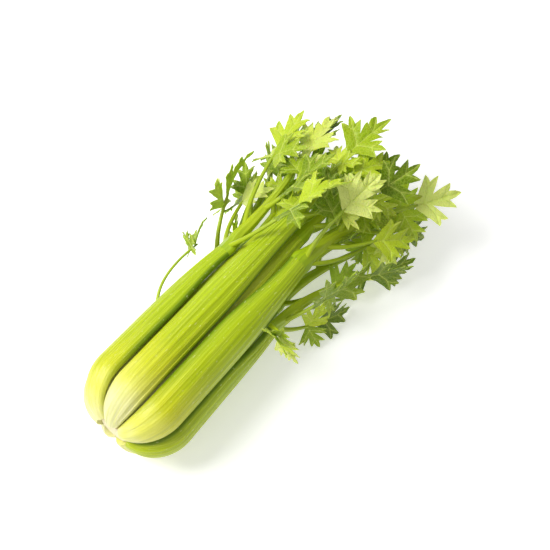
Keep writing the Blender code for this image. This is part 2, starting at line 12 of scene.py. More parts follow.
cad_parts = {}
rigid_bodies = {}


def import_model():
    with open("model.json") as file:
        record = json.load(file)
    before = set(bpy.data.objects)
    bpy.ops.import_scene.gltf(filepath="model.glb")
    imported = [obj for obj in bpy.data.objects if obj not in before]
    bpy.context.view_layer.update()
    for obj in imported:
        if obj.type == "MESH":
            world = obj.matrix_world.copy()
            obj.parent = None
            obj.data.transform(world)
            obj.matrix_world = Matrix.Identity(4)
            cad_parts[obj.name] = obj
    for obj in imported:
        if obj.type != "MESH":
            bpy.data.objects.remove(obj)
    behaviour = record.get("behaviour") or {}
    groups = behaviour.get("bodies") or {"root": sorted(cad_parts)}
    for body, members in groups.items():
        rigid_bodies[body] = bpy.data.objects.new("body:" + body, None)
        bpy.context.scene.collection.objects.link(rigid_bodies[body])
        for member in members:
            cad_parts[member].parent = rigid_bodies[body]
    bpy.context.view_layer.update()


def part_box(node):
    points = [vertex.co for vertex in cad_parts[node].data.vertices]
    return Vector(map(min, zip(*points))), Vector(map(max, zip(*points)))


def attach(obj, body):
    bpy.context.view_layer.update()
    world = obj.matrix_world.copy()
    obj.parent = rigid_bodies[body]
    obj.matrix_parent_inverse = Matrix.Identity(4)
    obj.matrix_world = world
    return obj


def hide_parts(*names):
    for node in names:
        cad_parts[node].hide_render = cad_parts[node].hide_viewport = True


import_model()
mm = 0.001

# The head's own axes: x along it from the cut root, angles round it from straight up towards -Y.
rootLow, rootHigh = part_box("root_plate")
rootFace = 4.0 * mm  # the cut face stands this far in from the head's own start
headStart = Vector((rootLow[0] - rootFace, (rootLow[1] + rootHigh[1]) / 2, (rootLow[2] + rootHigh[2]) / 2))
axisHeight = 47.2 * mm  # as in the part's source, so that the growth below repeats its draws
print("head starts at", tuple(round(v, 4) for v in headStart))


def smooth(share):
    share = min(1.0, max(0.0, share))
    return share * share * (3 - 2 * share)


def around(x, radius, angle):
    return Vector((x, -radius * math.sin(angle), radius * math.cos(angle)))


def fromRgb(red, green, blue):  # a colour as seen on screen, as the shader's linear values
    values = []
    for value in (red, green, blue):
        value /= 255
        values.append(value / 12.92 if value <= 0.04045 else ((value + 0.055) / 1.055) ** 2.4)
    return (*values, 1.0)


# Nodes, meshes and pieces

class Nodes:  # short calls for building a tree of nodes
    def __init__(self, tree):
        self.tree = tree

    def fill(self, node, inputs):  # sets a node's inputs, or links them to another node's output
        for key, value in inputs.items():
            if isinstance(value, bpy.types.NodeSocket):
                self.tree.links.new(value, node.inputs[key])
            else:
                node.inputs[key].default_value = value
        return node

    def add(self, kind, inputs, **settings):
        node = self.tree.nodes.new(kind)
        for key, value in settings.items():
            setattr(node, key, value)
        return self.fill(node, inputs)

    def math(self, operation, *values):
        return self.add("ShaderNodeMath", dict(enumerate(values)), operation=operation).outputs[0]

    def plus(self, first, second):
        return self.math("ADD", first, second)

    def times(self, first, second):
        return self.math("MULTIPLY", first, second)


class Skin(Nodes):  # the nodes of one material
    def __init__(self, name):
        self.material = bpy.data.materials.new(name)
        self.material.use_nodes = True
        super().__init__(self.material.node_tree)

    def attribute(self, name):
        return self.add("ShaderNodeAttribute", {}, attribute_name=name).outputs["Fac"]

    def skinMap(self):
        return self.add("ShaderNodeUVMap", {}, uv_map="skin").outputs[0]

    def objectPlace(self):
        return self.add("ShaderNodeTexCoord", {}).outputs["Object"]

    def between(self, value, low, high, toLow=0.0, toHigh=1.0, kind="SMOOTHSTEP"):
        inputs = dict(enumerate((value, low, high, toLow, toHigh)))
        return self.add("ShaderNodeMapRange", inputs, interpolation_type=kind).outputs[0]

    def noise(self, vector, detail, roughness=0.55, scale=1.0, stretch=None):
        if stretch:
            vector = self.add("ShaderNodeMapping", {"Vector": vector, "Scale": stretch}).outputs[0]
        inputs = {"Vector": vector, "Scale": scale, "Detail": detail, "Roughness": roughness}
        return self.add("ShaderNodeTexNoise", inputs).outputs[0]

    def ramp(self, value, stops):
        node = self.add("ShaderNodeValToRGB", {0: value})
        band = node.color_ramp.elements
        while len(band) < len(stops):
            band.new(1.0)
        for element, (place, colour) in zip(band, stops):
            element.position = place
            element.color = fromRgb(*colour)
        return node.outputs[0]

    def tint(self, skin, pattern, amount, colour):  # lays a colour over the skin where the pattern is
        inputs = {0: self.times(pattern, amount), 6: skin, 7: fromRgb(*colour)}
        return self.add("ShaderNodeMix", inputs, data_type="RGBA").outputs[2]

    def bump(self, height, distance, strength, before=None):
        inputs = {"Strength": strength, "Distance": distance, "Height": height}
        if before:
            inputs["Normal"] = before
        return self.add("ShaderNodeBump", inputs).outputs[0]

    def shade(self, inputs):
        self.fill(self.tree.nodes["Principled BSDF"], inputs)
        return self.material


def ringFaces(count, size, first=0):  # four-sided faces between rings of points that follow each other
    faces = []
    for low in range(first, first + (count - 1) * size, size):
        for i in range(size):
            j = (i + 1) % size
            faces.append((low + i, low + j, low + size + j, low + size + i))
    return faces


def closedMesh(name, places, faces, slots=None, corners=4):  # faces turned outward, those with more corners cut up
    mesh = bpy.data.meshes.new(name)
    mesh.from_pydata(places, [], faces)
    if slots:
        mesh.polygons.foreach_set("material_index", slots)
    shape = bmesh.new()
    shape.from_mesh(mesh)
    bmesh.ops.recalc_face_normals(shape, faces=shape.faces)
    bmesh.ops.triangulate(shape, faces=[face for face in shape.faces if len(face.verts) > corners])
    shape.to_mesh(mesh)
    shape.free()
    return mesh


def setValues(mesh, name, values, kind="FLOAT"):  # one value or vector for every point
    layer = mesh.attributes.new(name, kind, "POINT")
    field = "vector" if kind == "FLOAT_VECTOR" else "value"
    layer.data.foreach_set(field, np.ravel(values).astype(np.int32 if kind == "INT" else np.float32))


def readValues(items, field, width=1, kind=np.float32):
    values = np.empty(len(items) * width, dtype=kind)
    items.foreach_get(field, values)
    return values.reshape(-1, width) if width > 1 else values


def setSkinMap(mesh, perVertex):  # one own place on the skin for every vertex
    corners = readValues(mesh.loops, "vertex_index", kind=np.int32)
    layer = mesh.uv_layers.new(name="skin")
    layer.data.foreach_set("uv", np.asarray(perVertex, dtype=np.float32)[corners].ravel())


def addObject(name, data):
    thing = bpy.data.objects.new(name, data)
    bpy.context.scene.collection.objects.link(thing)
    return thing


def finishPiece(name, mesh, materials, node, slot, sharpAt=0.9):
    for material in materials:
        mesh.materials.append(material)
    mesh.shade_smooth()
    mesh.set_sharp_from_angle(angle=sharpAt)
    piece = addObject(name, mesh)
    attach(piece, "root")
    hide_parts(node)


# Materials

stalkFinish = {
    # place along the head as a share of its length, and the colour of a stalk's skin there
    "outer": ((0.0, (238, 234, 168)), (0.05, (230, 228, 98)), (0.11, (208, 212, 26)), (0.20, (188, 204, 2)),
              (0.34, (184, 206, 2)), (0.50, (180, 204, 16)), (0.66, (184, 205, 44)), (1.0, (178, 199, 60))),
    "inner": ((0.0, (248, 245, 206)), (0.10, (240, 238, 170)), (0.24, (228, 230, 104)), (0.42, (206, 218, 50)),
              (0.66, (180, 202, 30)), (1.0, (162, 190, 28))),
    # the dark green is laid in random broad streaks, and as painted shade along the stalks' edges and in their furrows;
    # the string colour is partly the strings' own pale and partly a painted highlight, and the speck colour is a
    # painted glint
    "shadeAndStreakGreen": (92, 126, 10), "string": (240, 242, 92), "glintColour": (246, 247, 176),
    # how much of these colours: at the root and further up, or all over
    "strings": (0.56, 0.32), "furrows": (0.05, 0.22), "edges": (0.16, 0.86), "shades": 0.20, "glintAmount": 0.34,
    "length": 345 * mm, "drift": 0.10, "roughness": 0.28, "translucence": 0.08,
    "stringBump": (0.40 * mm, 0.9), "poreBump": (0.22 * mm, 0.6),
}


def stalkMaterial(name, stops, finish):
    nodes = Skin(name)
    place, skinMap = nodes.objectPlace(), nodes.skinMap()
    along = nodes.add("ShaderNodeSeparateXYZ", {0: place}).outputs[0]
    share = nodes.between(along, headStart.x, headStart.x + finish["length"], kind="LINEAR")
    drift = nodes.noise(place, 2.0, scale=38.0, stretch=(0.5, 1.0, 1.0))
    share = nodes.plus(share, nodes.times(nodes.math("SUBTRACT", drift, 0.5), finish["drift"]))
    share = nodes.plus(share, nodes.attribute("tone"))
    strings = nodes.noise(skinMap, 3.0, 0.6, stretch=(1800.0, 20.0, 1.0))
    broad = nodes.noise(skinMap, 2.0, 0.5, stretch=(330.0, 14.0, 1.0))
    glintSpots = nodes.noise(skinMap, 1.0, 0.4, stretch=(900.0, 260.0, 1.0))
    pores = nodes.noise(skinMap, 2.0, stretch=(2600.0, 700.0, 1.0))
    skin = nodes.ramp(share, stops)
    for pattern, amount, colour in (
            # pale strings, partly the celery's own paler strings and partly a painted highlight along them, most at the
            # root
            (nodes.between(strings, 0.50, 0.66), nodes.between(share, 0.05, 0.4, *finish["strings"]), "string"),
            (nodes.between(broad, 0.42, 0.74), finish["shades"], "shadeAndStreakGreen"),
            # painted shade: the dark green in the furrows between the ribs
            (nodes.attribute("groove"), nodes.between(share, 0.02, 0.30, *finish["furrows"]), "shadeAndStreakGreen"),
            # painted shade: the dark green along each stalk's edges, where it meets the stalks beside it
            (nodes.between(nodes.attribute("edge"), 0.76, 1.0),
             nodes.between(share, 0.02, 0.20, *finish["edges"]), "shadeAndStreakGreen"),
            # painted glints: small pale flecks that stand in for highlights on the skin
            (nodes.between(glintSpots, 0.66, 0.76), finish["glintAmount"], "glintColour")):
        skin = nodes.tint(skin, pattern, amount, finish[colour])
    rough = finish["roughness"]
    fine = nodes.bump(strings, *finish["stringBump"])
    return nodes.shade({
        "Base Color": skin, "Roughness": nodes.between(broad, 0.2, 0.8, rough - 0.06, rough + 0.14, "LINEAR"),
        "Normal": nodes.bump(pores, *finish["poreBump"], fine), "Specular IOR Level": 0.36,
        "Coat Weight": 0.06, "Coat Roughness": 0.22, "Subsurface Weight": finish["translucence"],
        "Subsurface Radius": (1.0, 1.0, 0.3), "Subsurface Scale": 2.5 * mm})


leafFinish = {
    "tones": ((0.0, (74, 98, 4)), (0.25, (108, 134, 8)), (0.5, (146, 170, 20)), (0.75, (182, 202, 38)),
              (0.9, (200, 215, 70)), (1.0, (212, 223, 122))),
    "under": (192, 214, 92), "vein": (212, 225, 108),
    "clouds": 0.5, "nearVeins": 0.20, "veins": 0.55, "net": 0.16, "underside": 0.55,  # how much of each
    "roughness": 0.40, "translucence": 0.30, "quiltBump": (0.35 * mm, 0.8), "veinBump": (0.3 * mm, 0.7),
}


def leafMaterial(name, finish):
    nodes = Skin(name)
    skinMap, span = nodes.skinMap(), nodes.attribute("veinSpan")
    clouds = nodes.math("SUBTRACT", nodes.noise(skinMap, 2.0, scale=22.0), 0.5)
    tone = nodes.plus(nodes.attribute("tone"), nodes.times(clouds, finish["clouds"]))
    cells = nodes.add("ShaderNodeTexVoronoi", {"Vector": skinMap, "Scale": 420.0}, feature="DISTANCE_TO_EDGE")
    cells = cells.outputs["Distance"]
    skin = nodes.ramp(tone, finish["tones"])
    for pattern, amount, colour in (
            (nodes.between(span, 0.0, 2.0 * mm, 1.0, 0.0), "nearVeins", "vein"),
            (nodes.between(span, 0.08 * mm, 0.34 * mm, 1.0, 0.0), "veins", "vein"),
            (nodes.between(cells, 0.0, 0.14, 1.0, 0.0), "net", "vein"),
            (nodes.attribute("under"), "underside", "under")):
        skin = nodes.tint(skin, pattern, finish[amount], finish[colour])
    rough = finish["roughness"]
    grain = nodes.noise(skinMap, 3.0, scale=90.0)
    quilt = nodes.bump(nodes.between(cells, 0.0, 0.4), *finish["quiltBump"])
    return nodes.shade({
        "Base Color": skin, "Roughness": nodes.between(grain, 0.2, 0.8, rough - 0.08, rough + 0.1, "LINEAR"),
        "Normal": nodes.bump(nodes.between(span, 0.0, 0.7 * mm), *finish["veinBump"], quilt),
        "Specular IOR Level": 0.18, "Subsurface Weight": finish["translucence"],
        "Subsurface Radius": (0.7, 1.0, 0.15), "Subsurface Scale": 1.6 * mm})


stemFinish = {"along": ((0.0, (160, 188, 16)), (0.35, (188, 206, 30)), (1.0, (160, 184, 34))),
              "furrow": (104, 136, 14), "furrows": 0.35, "roughness": 0.32, "translucence": 0.10}


def stemMaterial(name, finish):
    nodes = Skin(name)
    strings = nodes.noise(nodes.skinMap(), 3.0, 0.6, stretch=(1500.0, 30.0, 1.0))
    skin = nodes.ramp(nodes.attribute("up"), finish["along"])
    skin = nodes.tint(skin, nodes.between(strings, 0.45, 0.7), finish["furrows"], finish["furrow"])
    return nodes.shade({
        "Base Color": skin, "Normal": nodes.bump(strings, 0.3 * mm, 0.6), "Roughness": finish["roughness"],
        "Subsurface Weight": finish["translucence"], "Subsurface Radius": (1.0, 1.0, 0.3),
        "Subsurface Scale": 1.5 * mm})


rootFinish = {"flesh": (240, 232, 190), "ring": (216, 200, 140), "brown": (186, 158, 98),
              "rings": 0.5, "stains": 0.55, "ringWaves": 2400.0, "wobble": 5.0, "roughness": 0.62}


def rootMaterial(name, finish):
    nodes = Skin(name)
    place = nodes.objectPlace()
    centred = nodes.add("ShaderNodeMapping", {"Vector": place, "Location": (0.0, -headStart.y, -headStart.z)})
    parts = nodes.add("ShaderNodeSeparateXYZ", {0: centred.outputs[0]}).outputs
    out = nodes.math("SQRT", nodes.plus(*(nodes.times(part, part) for part in parts[1:3])))
    wobble = nodes.times(nodes.noise(place, 3.0, scale=160.0), finish["wobble"])
    waved = nodes.plus(nodes.times(out, finish["ringWaves"]), wobble)
    rings = nodes.between(nodes.math("SINE", waved), 0.0, 1.0)
    skin = nodes.tint(fromRgb(*finish["flesh"]), rings, finish["rings"], finish["ring"])
    stain = nodes.between(nodes.noise(place, 4.0, scale=90.0), 0.52, 0.72)
    stain = nodes.math("MAXIMUM", stain, nodes.between(out, 9 * mm, 15 * mm))
    skin = nodes.tint(skin, stain, finish["stains"], finish["brown"])
    pores = nodes.bump(nodes.noise(place, 4.0, scale=900.0), 0.5 * mm, 0.6)
    return nodes.shade({"Base Color": skin, "Roughness": finish["roughness"], "Normal": pores})


outerSkin = stalkMaterial("outerStalkSkin", stalkFinish["outer"], stalkFinish)
innerSkin = stalkMaterial("innerStalkSkin", stalkFinish["inner"], stalkFinish)
leafSkin = leafMaterial("leafSkin", leafFinish)
stemSkin = stemMaterial("stemSkin", stemFinish)
rootSkin = rootMaterial("cutRoot", rootFinish)
print("materials made")


# Stalks: the same rings and lines as in the part's source

ringForms = {  # in mm
    "outer": {"radius": 46.0, "rootX": 6, "rootR": 15.6, "turnX": 38, "thick": 10.0, "edge": 3.0, "sag": 4.6,
              "neck": 10.5, "dip": 0.9},
    "middle": {"radius": 33.0, "rootX": 18, "rootR": 13.4, "turnX": 46, "thick": 7.6, "edge": 2.6, "sag": 3.2,
               "neck": 7.0, "dip": 0.5},
    "heart": {"radius": 20.5, "rootX": 28, "rootR": 6.8, "turnX": 52, "thick": 5.6, "edge": 2.2, "sag": 2.0,
              "neck": 4.2, "dip": 0.0},
}
ringCuts = {  # the ribs of a stalk, and the solid's steps where it turns and where it runs along
    "outer": {"ribs": 7, "turns": 3, "runs": 5},
    "middle": {"ribs": 4, "turns": 2, "runs": 4},
    "heart": {"ribs": 2, "turns": 2, "runs": 4},
}
outerRadius = ringForms["outer"]["radius"] * mm
ribHeight = 0.55 * mm
turnShare = 0.3  # of a stalk's length, where it turns from the root into its run
neckFrom = 0.45  # of its run, where it begins to narrow towards the joint
thinning = 0.16  # how much thinner it is at the joint
crescent = 2.4  # the power by which it thins from its middle to its edges
flattening = 1.5  # and the one by which the crescent flattens as it narrows
stalkLines = {  # degrees: angle, half angle; mm: off its ring's radius, joint's place along the head, flare there
    "outer_a": (-50, 21.5, 0, 172, -7),
    "outer_b": (-2, 22.5, -2, 226, -7),
    "outer_c": (46, 24.0, 1, 202, -7),
    "outer_d": (98, 23.5, -0.5, 152, -5),
    "outer_e": (156, 23.5, 0, 180, -4),
    "outer_f": (204.5, 23.5, 0, 190, -4),
    "outer_g": (257, 23.0, 0, 172, -6),
    "middle_a": (-33, 27.0, 0, 206, -6.5),
    "middle_b": (25, 27.0, 0, 222, -6.5),
    "middle_c": (82, 26.0, 0, 200, -6.5),
    "middle_d": (140, 27.0, 0, 212, -6.5),
    "middle_e": (199, 27.0, 0, 204, -6.5),
    "middle_f": (264, 27.0, 0, 208, -6.5),
    "heart_a": (15, 36.0, 0, 226, -4.5),
    "heart_b": (105, 36.0, 0, 214, -4.5),
    "heart_c": (195, 36.0, 0, 228, -4.5),
    "heart_d": (285, 36.0, 0, 218, -4.5),
}
stalks = {}
for name, (angle, half, shift, jointX, flare) in stalkLines.items():
    ring = name.split("_")[0]
    stalk = {key: value * mm for key, value in ringForms[ring].items()}
    stalk.update(ringCuts[ring], ring=ring, angle=angle, half=half, jointX=jointX * mm, flare=flare * mm)
    stalk["radius"] += shift * mm
    stalks[name] = stalk


def stalkMiddle(stalk, share):
    if share < turnShare:
        turn = share / turnShare * math.pi / 2
        x = stalk["rootX"] + (stalk["turnX"] - stalk["rootX"]) * (1 - math.cos(turn))
        return x, stalk["rootR"] + (stalk["radius"] - stalk["rootR"]) * math.sin(turn)
    run = (share - turnShare) / (1 - turnShare)
    x = stalk["turnX"] + (stalk["jointX"] - stalk["turnX"]) * run
    return x, stalk["radius"] - stalk["dip"] * math.sin(math.pi * run) + stalk["flare"] * run**3


def stalkFrame(stalk, share):
    step = 0.002
    x, radius = stalkMiddle(stalk, share)
    before = Vector(stalkMiddle(stalk, max(0.0, share - step)))
    after = Vector(stalkMiddle(stalk, min(1.0, share + step)))
    return x, radius, (after - before).normalized()


def sectionForm(stalk, share):  # a section's half width, and the height and place of a point at a share of it
    x, radius, along = stalkFrame(stalk, share)
    run = (share - turnShare) / (1 - turnShare)
    narrowing = smooth((run - neckFrom) / (1 - neckFrom))
    whole = math.radians(stalk["half"])
    half = whole * (1 - narrowing) + stalk["neck"] / radius * narrowing
    sag = stalk["sag"] * min(1.0, half * radius / (whole * stalk["radius"])) ** flattening
    thick = stalk["thick"] * (1 - thinning * max(0.0, run))

    def heightAt(u, side, rounding=1.0):
        depth = (stalk["edge"] + (thick - stalk["edge"]) * (1 - abs(u) ** crescent)) * rounding
        return side * depth / 2 - sag * u * u

    def placeAt(u, height):
        angle = math.radians(stalk["angle"]) + u * half
        place = around(x - along.y * height, radius + along.x * height, angle)
        place.z = max(place.z, -axisHeight)
        return place

    return half * radius, heightAt, placeAt


def coarseStalk(stalk):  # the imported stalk's own triangles, which the leaves grow clear of
    ribs, turns, runs = stalk["ribs"], stalk["turns"], stalk["runs"]
    shares = [turnShare * i / turns for i in range(turns)]
    shares += [turnShare + (1 - turnShare) * i / runs for i in range(runs + 1)]
    places = []
    for share in shares:
        _, heightAt, placeAt = sectionForm(stalk, share)
        for i in range(2 * ribs + 1):
            u = i / ribs - 1
            places.append(placeAt(u, heightAt(u, 1) + ribHeight * (0.5 if i % 2 else -0.5)))
        for i in range(ribs + 1):
            u = 1 - 2 * i / ribs
            places.append(placeAt(u, heightAt(u, -1)))
    size = 3 * ribs + 2
    faces = ringFaces(len(shares), size)
    for first in (0, len(places) - size):
        for i in range(ribs):
            back, inner = first + 2 * i, first + size - 1 - i
            faces += [(inner, back, back + 1), (inner, back + 1, inner - 1), (inner - 1, back + 1, back + 2)]
    return closedMesh("guide", places, faces, corners=3)


stalkDetail = {
    "stations": {"outer": 84, "middle": 56, "heart": 48}, "pointsPerRib": 16, "innerPoints": 26,
    "stringHeight": 0.10 * mm, "stringsPerRib": 3,
    "roundedEdge": 0.07, "edgeRoundness": 0.94,
    "fadeIn": 0.12,  # the skin's relief grows over this share of a stalk's length
    "furrowDepth": 0.7,  # of the ribs' height in the part's source
    "strength": 0.9, "leastStrength": 0.15,  # of the ribs' relief
    # waves over the skin: how strong, how often across a stalk, how often along it
    "ribBend": (0.09, 4.4, 1.4),  # the ribs wander off their even places, as a share of the half width
    "strong": (0.55, 3.1, 4.0), "weak": (0.45, 7.3, -6.0),  # and are deeper in some places
    "swell": (0.175 * mm, 2.2, 9.0),
    # outer_d's shift is painted shade, for that stalk lies in shadow
    "tones": {"outer_b": -0.04, "outer_d": 0.20},  # how much further along the ramp of colours a stalk is
    "relief": {"outer_a": 0.9, "outer_b": 1.25, "outer_c": 0.85},  # how deep its furrows are beside the others'
}


def fineSection(stalk, share, draw, detail):
    def wave(key, phase):
        strength, across, along = detail[key]
        return strength * math.sin(draw[phase] + across * u + along * share)

    ribs = stalk["ribs"]
    width, heightAt, placeAt = sectionForm(stalk, share)
    fade = smooth(share / detail["fadeIn"])
    relief = ribHeight * detail["furrowDepth"] * draw["relief"] * 0.5
    points = []
    for count, side in ((detail["pointsPerRib"] * ribs, 1), (detail["innerPoints"], -1)):
        for i in range(count + (side > 0)):
            s = 2 * i / count - 1 if side > 0 else 2 * (i + 0.5) / count - 1
            u = side * s * (1.5 - 0.5 * s * s)  # closer points towards the edges
            past = max(0.0, (abs(u) - 1 + detail["roundedEdge"]) / detail["roundedEdge"])
            height = heightAt(u, side, math.sqrt(max(0.0, 1 - (past * detail["edgeRoundness"]) ** 2)))
            groove = 0.0
            if side > 0:
                bent = (u + wave("ribBend", "stringPhase") * (1 - u * u) + 1) * ribs
                strength = detail["strength"] + wave("strong", "ribPhase") + wave("weak", "wavePhase")
                strength = max(detail["leastStrength"], strength)
                beat = math.cos(math.pi * bent)
                height -= relief * beat * strength * (0.35 + 0.65 * fade)
                string = math.cos(math.pi * bent * detail["stringsPerRib"] + draw["stringPhase"])
                height += detail["stringHeight"] * string * fade
                groove = 0.5 + 0.5 * beat
            height += wave("swell", "wavePhase") * (1 - abs(u)) * fade
            points.append((placeAt(u, height), groove, abs(u), u * width))
    return points


def fineStalk(name, stalk, detail):
    draw = random.Random("skin " + name)
    phases = {key: draw.uniform(0, 6.28) for key in ("ribPhase", "stringPhase", "wavePhase")}
    phases["relief"] = detail["relief"].get(name, 1.0)
    count = detail["stations"][stalk["ring"]]
    places, groove, edge, skin = [], [], [], []
    for k in range(count):
        share = k / (count - 1)
        for place, furrow, side, across in fineSection(stalk, share, phases, detail):
            places.append(place + headStart)
            groove.append(furrow)
            edge.append(side)
            skin.append((across + stalk["angle"] * 3 * mm, share * stalk["jointX"]))
    size = len(places) // count
    faces = ringFaces(count, size)
    faces.append(tuple(range(size - 1, -1, -1)))
    faces.append(tuple(range((count - 1) * size, count * size)))
    mesh = closedMesh("stalk", places, faces)
    setValues(mesh, "groove", groove)
    setValues(mesh, "edge", edge)
    setValues(mesh, "tone", [detail["tones"].get(name, 0.0) + draw.uniform(-0.03, 0.03)] * len(places))
    setSkinMap(mesh, skin)
    return mesh


for name, stalk in stalks.items():
    skin, slot = (outerSkin, "stalk_green") if stalk["ring"] == "outer" else (innerSkin, "heart_green")
    finishPiece("skin_" + name, fineStalk(name, stalk, stalkDetail), [skin], "stalk_" + name, slot)
print("stalks made")


# Leaves: the growth of the part's source, draw for draw, so that every fine leaflet lies on its solid

ribRadii = {"outer": (7.2 * mm, 2.0 * mm), "middle": (5.0 * mm, 1.6 * mm), "heart": (3.4 * mm, 1.4 * mm)}
branchRadii = (2.3 * mm, 1.3 * mm)
shootRadii = (1.3 * mm, 1.0 * mm)
ribTaper = 1.3  # the power by which ribs thin towards their tips
blade = 0.8 * mm  # how thick the solids' leaflets are
jointGap = 0.4 * mm
leafClear = 1.5 * mm  # how clear a leaflet stays of all that grew before it
stemClear = 1.0 * mm  # and a stem
sampleStep = 2.5 * mm
ribSkip = 5  # a rib's first samples, which may be near to its stalk
branchSkip = 3
ownSkip = 5  # a branch's next samples, which may be near to its own leaf's stems
tipBack = 2.5  # a stem's last leaflet starts this many mm before its end
pairBack = {"tip": 15 * mm, "branch": 12 * mm, "shoot": 7 * mm}  # and its pair of side leaflets
pairShare = 0.84  # their size beside the last one's
ribPoints = 6
collar = 2 * mm  # a rib runs straight on for this much before it bends
branchPoints = 4
shootPoints = 6
tries = 60
lightward = 0.5  # how much leaflets turn up to the light
lowestLit = -0.3  # unless their stalk faces further down than this
leafCentre = Vector((0.0, 0.2))  # as a share of a leaflet's length, from the middle of its foot
# lobes: turn in degrees, reach, and teeth and notches by their own turn and share of the reach
teeth = ((-22, 0.80), (-11, 0.70), (0, 1.0), (11, 0.70), (22, 0.80))
fineTeeth = ((-26, 0.62), (-21, 0.58), (-15, 0.86), (-8, 0.74), (0, 1.0),
             (8, 0.74), (15, 0.86), (21, 0.58), (26, 0.62))
largeLobes = ((60, 0.62, teeth), (0, 0.80, fineTeeth), (-60, 0.62, teeth))
smallLobes = ((60, 0.58, ((-14, 0.86), (0, 0.74), (14, 0.94))), (0, 0.80, teeth),
              (-60, 0.58, ((-14, 0.94), (0, 0.74), (14, 0.86))))
sinus = 0.30  # how far from the centre the deep notches between lobes are
hubShare = 0.48  # and the middle of a lobe, as a share of its reach
largeLeaflet = 44 * mm  # longer ones have the large lobes
foot = 0.045  # half the width at the foot
leafLines = {
    # rib: length in mm, lean out, lean sideways, leaflets' size in mm, leaflets at the tip
    # branches: share of the rib, side, length in mm, lean sideways, lean out, leaflets
    "outer_a": (112, 0.22, 0.06, 42, 3, ((0.03, 1, 80, 1.15, 0.12, 3), (0.04, -1, 70, 0.6, 0.2, 3),
                                         (0.22, -1, 84, 0.15, 0.35, 3), (0.45, 1, 44, 0.9, 0.1, 3))),
    "outer_b": (72, 0.34, 0.05, 42, 3, ((0.05, 1, 46, 0.8, 0.3, 3), (0.08, -1, 46, 0.6, 0.4, 3),
                                        (0.5, 1, 32, 0.7, 0.3, 1))),
    "outer_c": (104, 0.36, 0.28, 44, 3, ((0.03, 1, 72, 0.5, 0.1, 3), (0.05, -1, 54, 0.5, 0.6, 3),
                                         (0.38, -1, 52, 0.6, 0.4, 3), (0.5, 1, 44, 0.7, 0.1, 3),
                                         (0.22, 1, 46, 0.55, 0.55, 1))),
    "outer_d": (104, 0.44, 0.1, 42, 3, ((0.04, 1, 44, 0.5, 0.7, 3), (0.1, -1, 52, 0.5, 0.5, 3),
                                        (0.4, 1, 44, 0.8, 0.3, 1), (0.55, -1, 40, 0.7, 0.3, 1))),
    "outer_e": (94, -0.06, -0.5, 40, 3, ((0.06, -1, 54, 0.8, 0.0, 1), (0.5, 1, 34, 0.6, -0.3, 1))),
    "outer_f": (86, -0.06, 0.5, 40, 3, ((0.06, 1, 54, 0.8, 0.0, 1), (0.5, -1, 34, 0.6, -0.3, 1))),
    "outer_g": (104, 0.36, 0.0, 42, 3, ((0.03, 1, 58, 0.7, 0.5, 3), (0.06, -1, 46, 0.7, 0.3, 3),
                                        (0.48, 1, 40, 0.7, 0.4, 3), (0.28, -1, 50, 0.4, 0.6, 1))),
    "middle_a": (88, 0.34, -0.06, 40, 3, ((0.25, -1, 40, 0.6, 0.5, 3), (0.5, 1, 34, 0.6, 0.4, 1))),
    "middle_b": (74, 0.26, 0.1, 40, 3, ((0.2, 1, 42, 0.6, 0.6, 1), (0.45, -1, 34, 0.6, 0.5, 1))),
    "middle_c": (96, 0.46, 0.04, 40, 3, ((0.25, -1, 40, 0.6, 0.5, 3), (0.5, 1, 36, 0.7, 0.4, 3))),
    "middle_d": (100, 0.24, -0.1, 34, 3, ((0.4, 1, 40, 0.6, 0.3, 1),)),
    "middle_e": (92, 0.1, 0.2, 38, 3, ((0.4, -1, 34, 0.6, 0.2, 1),)),
    "middle_f": (88, 0.46, 0.0, 40, 3, ((0.3, 1, 38, 0.6, 0.4, 1),)),
    "heart_a": (68, 0.26, 0.1, 38, 2, ()),
    "heart_b": (76, 0.4, 0.1, 38, 3, ()),
    "heart_c": (62, 0.2, 0.0, 36, 2, ()),
    "heart_d": (76, 0.4, 0.0, 38, 2, ()),
}
shootLines = {  # start: angle, mm along; end: angle, mm along, mm out of the ring; leaflets' size, way ahead and out
    "shoot_a": (-76.5, 104, -70, 166, 9, 26, (1.0, 0.7)),
    "shoot_d": (71.5, 150, 60, 140, 13, 31, (-0.5, 1.0)),
}


def jointFrame(stalk):
    x, radius, along = stalkFrame(stalk, 1.0)
    angle = math.radians(stalk["angle"])
    centre = around(x, radius, angle)
    forward = Vector((along.x, 0, 0)) + around(0, along.y, angle)
    outward = Vector((-along.y, 0, 0)) + around(0, along.x, angle)
    sideways = around(0, 1, angle + math.pi / 2)
    return centre, forward.normalized(), outward.normalized(), sideways


def arcPoint(arc, t):
    start, through, end = arc
    return start * (1 - t) ** 2 + through * (2 * t * (1 - t)) + end * t * t


def arcWay(arc, t):
    start, through, end = arc
    return ((through - start) * (2 * (1 - t)) + (end - through) * (2 * t)).normalized()


def bend(arc, count):
    return [arcPoint(arc, i / (count - 1)) for i in range(count)]


def evenly(values, count):  # that many values from the first to the second
    first, last = values
    step = (last - first) / (count - 1)
    return [first + step * i for i in range(count)]


def alongLine(points, share):
    steps = [after - before for before, after in zip(points, points[1:])]
    left = share * sum(step.length for step in steps)
    for point, step in zip(points, steps):
        if left <= step.length or step is steps[-1]:
            return point + step * min(1.0, left / step.length), step.normalized()
        left -= step.length


def samples(points, radii):
    found = []
    for i in range(len(points) - 1):
        steps = max(1, math.ceil((points[i + 1] - points[i]).length / sampleStep))
        for k in range(steps):
            t = k / steps
            found.append((points[i].lerp(points[i + 1], t), radii[i] * (1 - t) + radii[i + 1] * t))
    found.append((points[-1], radii[-1]))
    return found


